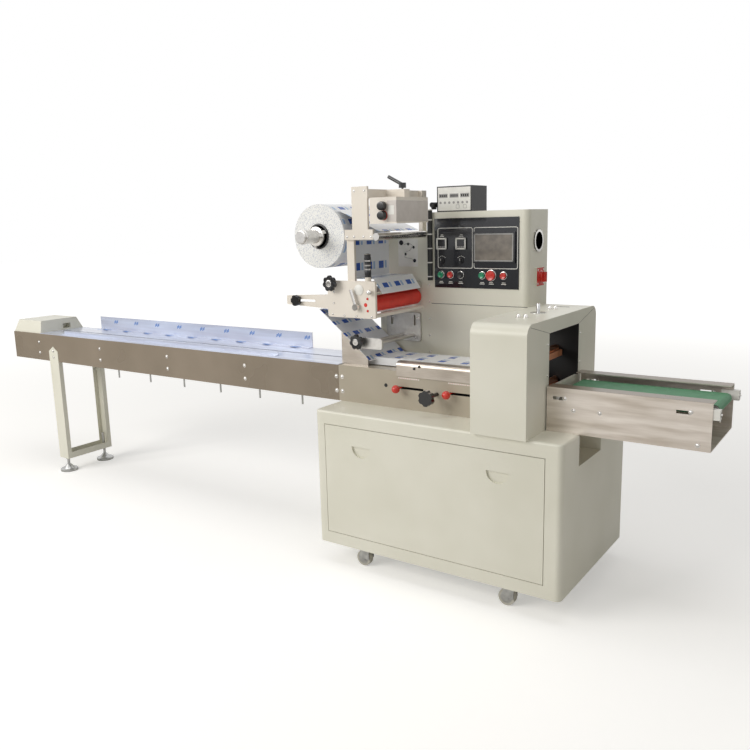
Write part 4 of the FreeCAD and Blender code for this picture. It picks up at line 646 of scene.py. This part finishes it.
# Discharge: bolts, tensioner blocks and their slots
sidePlates = "discharge_side_plates"
sideBolts = ((67, 126), (100, 86), (194, 88), (493, 128), (519, 19))
plateLength, plateDepth = span(sidePlates, 0), span(sidePlates, 1)
lip = {"width": 58, "level": 164}
screwRow("dischargeBolts", [at(sidePlates, x, 0, z) for x, z in sideBolts], "-Y")
screwRow("dischargeBackBolts", [at(sidePlates, x, plateDepth, z) for x, z in sideBolts], "Y")
edge = bmesh.new()
for near in (0, plateDepth - lip["width"]):
    blockInto(edge, at(sidePlates, 0, near, lip["level"]), (plateLength, lip["width"], 0.5))
finishPiece("dischargeLipSkin", edge, "umberSheet", bevel=0.2)

# skins on the solid blocks at the belt rollers' outer end, and black blocks where their slots are, as the slots'
# painted shade
tensioner = {"width": 22, "inset": 60.4, "size": (60.8, 22.6, 34.8), "slot": (6, 10), "slotSize": (0.8, 10, 16),
             "screw": (11, 18)}
rollersLength = span("belt_rollers", 0)
bothSides = (0, span("belt_rollers", 1) - tensioner["width"])
blocks, bores = bmesh.new(), bmesh.new()
for near in bothSides:
    blockInto(blocks, at("belt_rollers", rollersLength - tensioner["inset"], near - 0.3, 0.6), tensioner["size"])
    across, low = tensioner["slot"]
    # a black block in each slot: painted shade of the slot
    blockInto(bores, at("belt_rollers", rollersLength - 0.1, near + across, low), tensioner["slotSize"])
finishPiece("beltTensionerBlocks", blocks, "whitePlastic", bevel=1.2)
finishPiece("beltTensionerSlotShade", bores, "matteBlackSheet")
across, low = tensioner["screw"]
screwRow("tensionerScrews", [at("belt_rollers", rollersLength + 0.6, near + across, low) for near in bothSides],
         "X", 4.0, 5.0)
print("discharge dressed")

# Infeed beam and leg: bolt pairs, marks printed on the foil
beam = {"bolts": (256, 834, 1389, 1937, 2486), "boltRows": (44, 107), "deckBolt": 18, "legBolts": (618, 654)}
for name, depth, facing in (("beamBolts", 0, "-Y"), ("beamBackBolts", span("infeed_side_plates", 1), "Y")):
    screwRow(name, [at("infeed_side_plates", x, depth, z) for x in beam["bolts"] for z in beam["boltRows"]],
             facing, 7.0, 5.0)
screwRow("deckBolts", [at("deck_frame", beam["deckBolt"], 0, z) for z in beam["boltRows"]], "-Y", 7.0, 5.0)
screwRow("legBolts", [at("leg_frame", 42, 0, z) for z in beam["legBolts"]], "-Y", 6.5, 5.0)

foilPrint = {"groups": 9, "first": 60, "step": 185, "guardFace": 274, "slant": (58, 13), "half": 5}
prints = bmesh.new()
for number in range(foilPrint["groups"]):
    x = foilPrint["first"] + number * foilPrint["step"]
    long, rise = foilPrint["slant"]
    for turn in (-1, 1):
        a = at("guide_rails", x, foilPrint["guardFace"] - 30, 3.1)
        b = a + Vector((long, turn * rise, 0)) * mm
        side = Vector((0, foilPrint["half"], 0)) * mm
        prismInto(prints, [a - side, b - side, b + side, a + side], (0, 0, 0.2 * mm))
    for line in range(4):
        a = at("guide_rails", x + 70 + line * 9, foilPrint["guardFace"] - 0.2, 38 + line % 2 * 5)
        prismInto(prints, [a + Vector((shift, 0, up)) * mm for shift, up in ((0, 0), (5, 0), (9, 16), (4, 16))],
                  (0, -0.2 * mm, 0))
finishPiece("foilPrintMarks", prints, "blueInk")
# the pad under the product bracket, placed from the upper, right, back corner of the guard rails
bracket = {"pad": (-44, -85, -25.5), "padSize": (24, 26, 24)}
pad = bmesh.new()
blockInto(pad, Vector(boxes["guide_rails"][1]) + Vector(bracket["pad"]) * mm, bracket["padSize"])
finishPiece("bracketRubberPad", pad, "blackRubber", bevel=2.0)

# Deck: painted shade inside the lever slots, scale strips, and painted shade of the hole in its face
deck = {
    "slots": (308, 542), "slotLow": 84, "slotSize": (118, 10), "slotDepth": 56,
    "rulerLow": 127, "ruler": (100, 5),
    "dots": 9, "dotStep": 10.5, "hole": (245, 0, 92), "caps": ((86, 37), (110, 47)),
}
slotShade, rulers, dots, holeRing, caps = (bmesh.new() for part in range(5))
long, tall = deck["slotSize"]
wide, thin = deck["ruler"]
low, deep = deck["slotLow"], deck["slotDepth"]
for left in deck["slots"]:
    # black sheets on the top, bottom and back of each slot: painted shade
    for level in (low, low + tall - 0.4):
        blockInto(slotShade, at("deck_frame", left, 0.5, level), (long, deep, 0.4))
    blockInto(slotShade, at("deck_frame", left, deep, low + 0.4), (long, 0.6, tall - 0.8))
    blockInto(rulers, at("deck_frame", left - 1, -0.5, deck["rulerLow"]), (wide, 0.5, thin))
    for number in range(deck["dots"]):
        latheInto(dots, at("deck_frame", left + 7 + number * deck["dotStep"], -0.5, deck["rulerLow"] + thin / 2),
                  "-Y", [(0.3, 0), (1.5, 0), (1.5, 0.2), (0.3, 0.2)], 12)
# a black dished disc over the small hole in the deck face: painted shade of the hole
latheInto(holeRing, at("deck_frame", *deck["hole"]), "-Y",
          [(0.5, 0), (8, 0), (8, 0.8), (6, 1.2), (0.5, 0.4)], 28)
finishPiece("leverSlotShade", slotShade, "matteBlackSheet")
finishPiece("scaleStrips", rulers, "whitePlastic")
finishPiece("scaleDots", dots, "redPlastic")
finishPiece("deckHoleShade", holeRing, "blackRubber")
for across, level in deck["caps"]:
    latheInto(caps, at("heater_bar_cover", across, 0.4, level), "-Y",
              [(0.4, 0), (5, 0), (5, 4), (4, 6), (0.4, 6.5)], 20)
finishPiece("barCoverCaps", caps, "blackPlastic")
print("infeed and deck dressed")

# Levers and hand knobs
for name in ("ball_lever_1", "ball_lever_2"):
    collar = bmesh.new()
    latheInto(collar, frontMiddle(name, 17), "Y", [(4.3, 15.5), (7.6, 15.8), (6.2, 20), (4.3, 20)], 24)
    finishPiece(name + "Collar", collar, "chromedSteel", name)

handGrip = {"radius": 33.0, "width": 16.0, "lobes": 7, "scoop": 0.16, "shaft": 4.0}


def lobedFlank(angle):
    return 1 - handGrip["scoop"] * (0.5 - 0.5 * math.cos(handGrip["lobes"] * angle)) ** 2


for name in ("upper_handwheel", "lower_handwheel"):
    # a moulded hand grip with scooped flanks and a chromed ring in its hub
    radius, width, shaft = handGrip["radius"], handGrip["width"], handGrip["shaft"]
    centre = frontMiddle(name)
    grip, ring = bmesh.new(), bmesh.new()
    latheInto(grip, centre, "Y",
              [(radius * 0.42, 1.0), (radius * 0.6, 0), (radius * 0.88, 0), (radius, 3.2), (radius, width - 3.2),
               (radius * 0.88, width), (radius * 0.45, width), (radius * 0.4, width + 4), (shaft, width + 4),
               (shaft, span(name, 1))], 72, lobedFlank)
    finishPiece(name + "Grip", grip, "blackBakelite", name, [name])
    latheInto(ring, centre, "-Y", [(radius * 0.2, -1.4), (radius * 0.42, -1.4), (radius * 0.42, 0.5),
                                   (radius * 0.3, 1.2), (radius * 0.2, 0.9)], 32)
    finishPiece(name + "Ring", ring, "chromedSteel", name)
print("levers and grips dressed")

# Film reel: wound web, core, expanding chuck and shaft; each profile is (radius, distance from the tip)
reelAxis = frontMiddle("film_reel")
reelProfiles = {
    "wound": [(52, 128), (52, 122), (90, 121.6), (110, 122.4), (130.6, 122), (131, 123), (131, 431), (130.4, 432),
              (15, 432), (15, 482), (2, 482)],
    "outerTurn": [(131.2, 124), (131.3, 124), (131.3, 430), (131.2, 430)],
    "core": [(30, 126), (51.5, 126), (51.5, 118), (46, 117), (46, 124), (30, 124)],
    "chuck": [(1, 0), (24, 0), (26, 2), (26, 10), (30, 12), (30, 26), (28, 28), (28, 96), (38, 98), (40, 100),
              (40, 116), (30, 118), (28, 125)],
    "cap": [(26, 2.5), (27, 3), (27, 9), (26, 9.5)],
}
wound, surface, core, chuck, knurl = (bmesh.new() for part in range(5))
latheInto(wound, reelAxis, "Y", reelProfiles["wound"], 96)
finishPiece("filmReelWound", wound, "woundFilmEdge", "film_reel", ["film_reel"])
latheInto(surface, reelAxis, "Y", reelProfiles["outerTurn"], 96)
finishPiece("filmReelOuterTurn", surface, "printedFilm", "film_reel")
latheInto(core, reelAxis, "Y", reelProfiles["core"], 64)
finishPiece("filmReelCore", core, "blackPlastic", "film_reel")
latheInto(chuck, reelAxis, "Y", reelProfiles["chuck"], 64)
for jaw in range(3):
    angle = 2 * math.pi * jaw / 3 + 0.4
    spoke = Vector((math.cos(angle), 0, math.sin(angle)))
    across = Vector((-spoke.z, 0, spoke.x))
    corners = [reelAxis + (Vector((0, 100, 0)) + spoke * reach + across * half) * mm
               for reach, half in ((36, -7), (47, -7), (47, 7), (36, 7))]
    prismInto(chuck, corners, (0, 20 * mm, 0))
finishPiece("filmReelChuck", chuck, "chromedSteel", "film_reel", bevel=0.5)
latheInto(knurl, reelAxis, "Y", reelProfiles["cap"], 96, lambda angle: 1 + 0.02 * math.cos(32 * angle))
finishPiece("filmReelKnurledCap", knurl, "machinedAluminium", "film_reel")
print("film reel dressed")

# Feed unit's front plate: caps, pressure ball, screws, crank hub and film sensor
feed = {
    "face": 0.5, "cap": (384, 115), "redCaps": ((425, 80), (425, 31)), "ball": (443, 108), "ballRadius": 11,
    "screws": ((257, 103), (255, 57), (248, 12), (308, 8), (368, 8), (444, 8)), "crankHub": (30.7, 2, 13),
    "sensor": (422, 12.5, 166), "sensorRings": (28, 44, 62),
}


def onFeedPlate(place):
    return at("feed_unit_frame", place[0], feed["face"], place[1])


disc, redCaps, ballKnob, hub, sensor, sensorRings = (bmesh.new() for part in range(6))
latheInto(disc, onFeedPlate(feed["cap"]), "-Y", [(1, 0), (22, 0), (22, 2), (20, 3.2), (1, 3.4)], 48)
finishPiece("feedPlateCap", disc, "whitePlastic")
for place in feed["redCaps"]:
    latheInto(redCaps, onFeedPlate(place), "-Y", [(0.4, 0), (5, 0), (5, 1.6), (3.5, 2.6), (0.4, 2.6)], 24)
finishPiece("feedPlateRedCaps", redCaps, "redPlastic")
reach = feed["ballRadius"]
ballProfile = [(reach * math.sin(math.radians(angle)), 15 - reach * math.cos(math.radians(angle)))
               for angle in range(30, 180, 15)]
latheInto(ballKnob, onFeedPlate(feed["ball"]), "-Y", [(5, 0), (5, 5)] + ballProfile, 32)
finishPiece("feedPressureBall", ballKnob, "chromedSteel")
screwRow("feedPlateScrews", [onFeedPlate(place) for place in feed["screws"]], "-Y", 3.6, 2.6)
latheInto(hub, at("crank_lever", *feed["crankHub"]), "Y",
          [(1, -0.5), (8, -0.5), (12.6, 2), (14, 6), (14, 13), (12, 17), (6, 18)], 36)
finishPiece("crankHubDome", hub, "chromedSteel", "crank_lever")
sensorFoot = at("feed_unit_frame", *feed["sensor"])
latheInto(sensor, sensorFoot, "Z",
          [(12.8, 0), (12.8, 10), (13.4, 11), (13.4, 26), (12.8, 27), (12.8, 60), (13.8, 61), (13.8, 78),
           (12.8, 79), (12.8, 91), (8, 93), (5, 93.6), (1, 93.6)], 36)
finishPiece("filmSensorBody", sensor, "blackPlastic")
for low in feed["sensorRings"]:
    latheInto(sensorRings, sensorFoot + Vector((0, 0, low)) * mm, "Z",
              [(13, 0), (14.4, 0.4), (14.4, 5.6), (13, 6)], 36)
finishPiece("filmSensorRings", sensorRings, "chromedSteel")
for name, radius in (("feed_roller", 33), ("nip_roller", 20)):
    collar = bmesh.new()
    latheInto(collar, frontMiddle(name, 17.6), "-Y",
              [(8.4, -0.6), (radius - 3, -0.6), (radius - 4, 0.6), (14, 1.0), (8.4, 1.0)], 40)
    finishPiece(name + "EndPlate", collar, "chromedSteel", name)

# Film wall: edge screws and the plain threading diagram
filmWall = {
    "screws": (32, 106, 180, 254, 326), "screwColumn": (359, 24), "placard": (201, 23.4, 405),
    "placardSize": (101, 0.8, 120),
    "drawnRollers": ((16, 104, 11), (52, 98, 6), (80, 84, 6), (38, 54, 6), (84, 26, 8)),
    "drawnWeb": ((10, 104), (34, 96), (52, 104), (76, 92), (60, 70), (34, 62), (34, 40), (70, 34), (88, 18)),
}
screwRow("filmWallScrews", [at("film_wall", *filmWall["screwColumn"], z) for z in filmWall["screws"]],
         "-Y", 3.4, 2.4)
placard, lines = bmesh.new(), bmesh.new()
placardLow = at("film_wall", *filmWall["placard"])
blockInto(placard, placardLow, filmWall["placardSize"])
finishPiece("threadingPlacard", placard, "whitePlastic", bevel=0.2)
for start, end in zip(filmWall["drawnWeb"], filmWall["drawnWeb"][1:]):
    a, b = (placardLow + Vector((x, 0, z)) * mm for x, z in (start, end))
    side = Vector((-(b - a).z, 0, (b - a).x)).normalized() * 0.5 * mm
    prismInto(lines, [a - side, b - side, b + side, a + side], (0, -0.2 * mm, 0))
for x, z, radius in filmWall["drawnRollers"]:
    latheInto(lines, placardLow + Vector((x, 0, z)) * mm, "-Y",
              [(radius - 0.9, 0), (radius, 0), (radius, 0.2), (radius - 0.9, 0.2)], 28)
finishPiece("threadingLines", lines, "darkAcrylic")

# Coder: dial knobs with a red ring, cover, blank label and the bracket's screws
coder = {
    "dials": ((75, 21, 67), (75, 21, 31)), "ring": (75, 24, 31), "cover": (90, 22.8, 6),
    "coverSize": (44.8, 238, 82), "label": (98, 22.3, 34), "labelSize": (26, 0.6, 34),
    "screws": ((52, 366), (101, 366), (13, 188), (47, 188), (93, 188), (129, 188)),
}
dials, dialRing, cover, label = (bmesh.new() for part in range(4))
for place in coder["dials"]:
    latheInto(dials, at("coder_unit", *place), "-Y",
              [(15.4, 0), (17, 1), (17, 17), (15.6, 20), (15.6, 21.4), (12, 21.8), (1, 21.8)], 60,
              lambda angle: 1 + 0.025 * math.cos(20 * angle))
latheInto(dialRing, at("coder_unit", *coder["ring"]), "-Y", [(15.3, 0), (18.4, 0), (18.4, 2.8), (15.3, 2.8)], 40)
finishPiece("coderDialKnobs", dials, "blackBakelite")
finishPiece("coderDialRing", dialRing, "redPlastic")
blockInto(cover, at("coder_unit", *coder["cover"]), coder["coverSize"])
finishPiece("coderGreyCover", cover, "paleGreyPlastic", bevel=2.0)
blockInto(label, at("coder_unit", *coder["label"]), coder["labelSize"])
finishPiece("coderBlankLabel", label, "whitePlastic")
screwRow("coderPlateScrews", [at("coder_bracket", x, 0, z) for x, z in coder["screws"]], "-Y", 4.0, 3.0)
print("film unit dressed")

# Fin seal bracket, loom ties, casters, feet
fittings = {
    "finScrews": ((27, 17), (35, 104), (151, 17), (165, 104)), "finBack": 282, "loomAxis": (11.2, 11),
    "ties": (14, 74, 134, 194, 254, 296), "hubInset": 2.2, "footMiddle": 50, "lockNut": 72,
}
screwRow("finBracketScrews", [at("fin_seal_unit", x, fittings["finBack"], z) for x, z in fittings["finScrews"]],
         "-Y", 5.0, 4.0)
ties = bmesh.new()
for rise in fittings["ties"]:
    latheInto(ties, at("wiring_loom", *fittings["loomAxis"], rise), "Z",
              [(10.4, 0), (12.2, 0.6), (12.2, 4.4), (10.4, 5)], 32)
finishPiece("loomTies", ties, "whitePlastic")
for number in range(1, 5):
    wheel = f"caster_wheel_{number}"
    disc = bmesh.new()
    for facing, depth in (("-Y", fittings["hubInset"]), ("Y", span(wheel, 1) - fittings["hubInset"])):
        latheInto(disc, frontMiddle(wheel, depth), facing,
                  [(10.5, 0), (24, 0), (22, 1.2), (12, 1.6), (10.5, 1.6)], 40)
    finishPiece(f"casterHubDisc{number}", disc, "zincSteel", wheel)
nutRings = bmesh.new()
for near in (fittings["footMiddle"], span("levelling_feet", 1) - fittings["footMiddle"]):
    latheInto(nutRings, at("levelling_feet", fittings["footMiddle"], near, fittings["lockNut"]), "Z",
              [(8.2, 0), (15, 0), (15, 9), (8.2, 9)], 6)
finishPiece("footLockNuts", nutRings, "zincSteel", bevel=0.6)
print("small fittings placed")

# Camera, lamps and floor: places in metres, angles in degrees, power in watts
cameraFacts = {
    "place": (2.476, -2.767, 1.437), "azimuth": 34.83, "elevation": 11.17, "roll": -1.48,
    "lens": 37.0, "sensor": 36.0, "shiftX": 0.0016, "shiftY": -0.002, "reach": 100,
}
# each lamp: its place, what it faces, the size of its panel, its power and its shade
lampFacts = {
    "frontSoftbox": ((-2.6, -5.2, 3.6), (0.2, 0, 0.8), (4.0, 3.0), 225, "FFFDF9"),
    "topSoftbox": ((0.2, -0.4, 4.4), (0.2, 0, 0.8), (5.0, 2.4), 48, "FFFFFF"),
    "rightFill": ((5.0, -0.6, 2.2), (0.8, 0, 0.8), (2.4, 2.4), 4, "FFF9F0"),
}
# the floor glows a little for the camera, more so the farther it is, so that it meets the white backdrop
studioFacts = {"ambient": 0.3, "backdrop": 1.0, "floorHalf": 30, "glow": (0.34, 0.8), "glowReach": (2.2, 8.0)}


def makeCamera(facts):
    data = bpy.data.cameras.new("camera")
    data.lens = facts["lens"]
    data.sensor_width = facts["sensor"]
    data.shift_x = facts["shiftX"]
    data.shift_y = facts["shiftY"]
    data.clip_end = facts["reach"]
    camera = bpy.data.objects.new("camera", data)
    azimuth, elevation = math.radians(facts["azimuth"]), math.radians(facts["elevation"])
    aim = Vector((-math.sin(azimuth) * math.cos(elevation), math.cos(azimuth) * math.cos(elevation),
                  -math.sin(elevation)))
    turn = aim.to_track_quat("-Z", "Y").to_matrix().to_4x4()
    roll = Matrix.Rotation(math.radians(facts["roll"]), 4, "Z")
    camera.matrix_world = Matrix.Translation(facts["place"]) @ turn @ roll
    bpy.context.scene.collection.objects.link(camera)
    bpy.context.scene.camera = camera


def makeLamp(name, place, target, size, watts, shade):
    data = bpy.data.lights.new(name, "AREA")
    data.shape = "RECTANGLE"
    data.size, data.size_y = size
    data.energy = watts
    data.color = hexColour(shade)[:3]
    lamp = bpy.data.objects.new(name, data)
    lamp.location = place
    lamp.rotation_euler = (Vector(target) - Vector(place)).to_track_quat("-Z", "Y").to_euler()
    bpy.context.scene.collection.objects.link(lamp)


def makeWorld():
    world = bpy.data.worlds.new("studio")
    bpy.context.scene.world = world
    world.use_nodes = True
    tree = world.node_tree
    tree.nodes.clear()
    path = addNode(tree, "ShaderNodeLightPath")
    direct = addNode(tree, "ShaderNodeMath", {"operation": "MAXIMUM"},
                     {0: path.outputs["Is Camera Ray"], 1: path.outputs["Is Transmission Ray"]})
    seen = addNode(tree, "ShaderNodeMath", {"operation": "MAXIMUM"},
                   {0: direct.outputs[0], 1: path.outputs["Is Glossy Ray"]})
    ambient = addNode(tree, "ShaderNodeBackground",
                      {"Color": hexColour("FFFDF8"), "Strength": studioFacts["ambient"]})
    backdrop = addNode(tree, "ShaderNodeBackground",
                       {"Color": hexColour("FFFFFF"), "Strength": studioFacts["backdrop"]})
    mix = addNode(tree, "ShaderNodeMixShader",
                  links={0: seen.outputs[0], 1: ambient.outputs[0], 2: backdrop.outputs[0]})
    addNode(tree, "ShaderNodeOutputWorld", links={"Surface": mix.outputs[0]})


def makeFloor():
    mesh = bpy.data.meshes.new("studioFloor")
    bm = bmesh.new()
    bmesh.ops.create_grid(bm, x_segments=1, y_segments=1, size=studioFacts["floorHalf"])
    bm.to_mesh(mesh)
    bm.free()
    floor = bpy.data.objects.new("studioFloor", mesh)
    bpy.context.scene.collection.objects.link(floor)
    material = bpy.data.materials.new("paleFloor")
    material.use_nodes = True
    tree = material.node_tree
    tree.nodes.clear()
    path = addNode(tree, "ShaderNodeLightPath")
    plain = addNode(tree, "ShaderNodeBsdfDiffuse", {"Color": hexColour("F4F3F1")})
    away = addNode(tree, "ShaderNodeVectorMath", {"operation": "LENGTH"},
                   {0: addNode(tree, "ShaderNodeTexCoord").outputs["Object"]})
    (near, far), (dim, bright) = studioFacts["glowReach"], studioFacts["glow"]
    rise = addNode(tree, "ShaderNodeMapRange",
                   {"From Min": near, "From Max": far, "To Min": dim, "To Max": bright},
                   {"Value": away.outputs["Value"]})
    glow = addNode(tree, "ShaderNodeEmission", {"Color": hexColour("FFFFFF")}, {"Strength": rise.outputs[0]})
    lift = addNode(tree, "ShaderNodeAddShader", links={0: plain.outputs[0], 1: glow.outputs[0]})
    mix = addNode(tree, "ShaderNodeMixShader",
                  links={0: path.outputs["Is Camera Ray"], 1: plain.outputs[0], 2: lift.outputs[0]})
    addNode(tree, "ShaderNodeOutputMaterial", links={"Surface": mix.outputs[0]})
    mesh.materials.append(material)


makeCamera(cameraFacts)
makeWorld()
makeFloor()
for name, facts in lampFacts.items():
    makeLamp(name, *facts)
print("camera, lamps and floor placed")
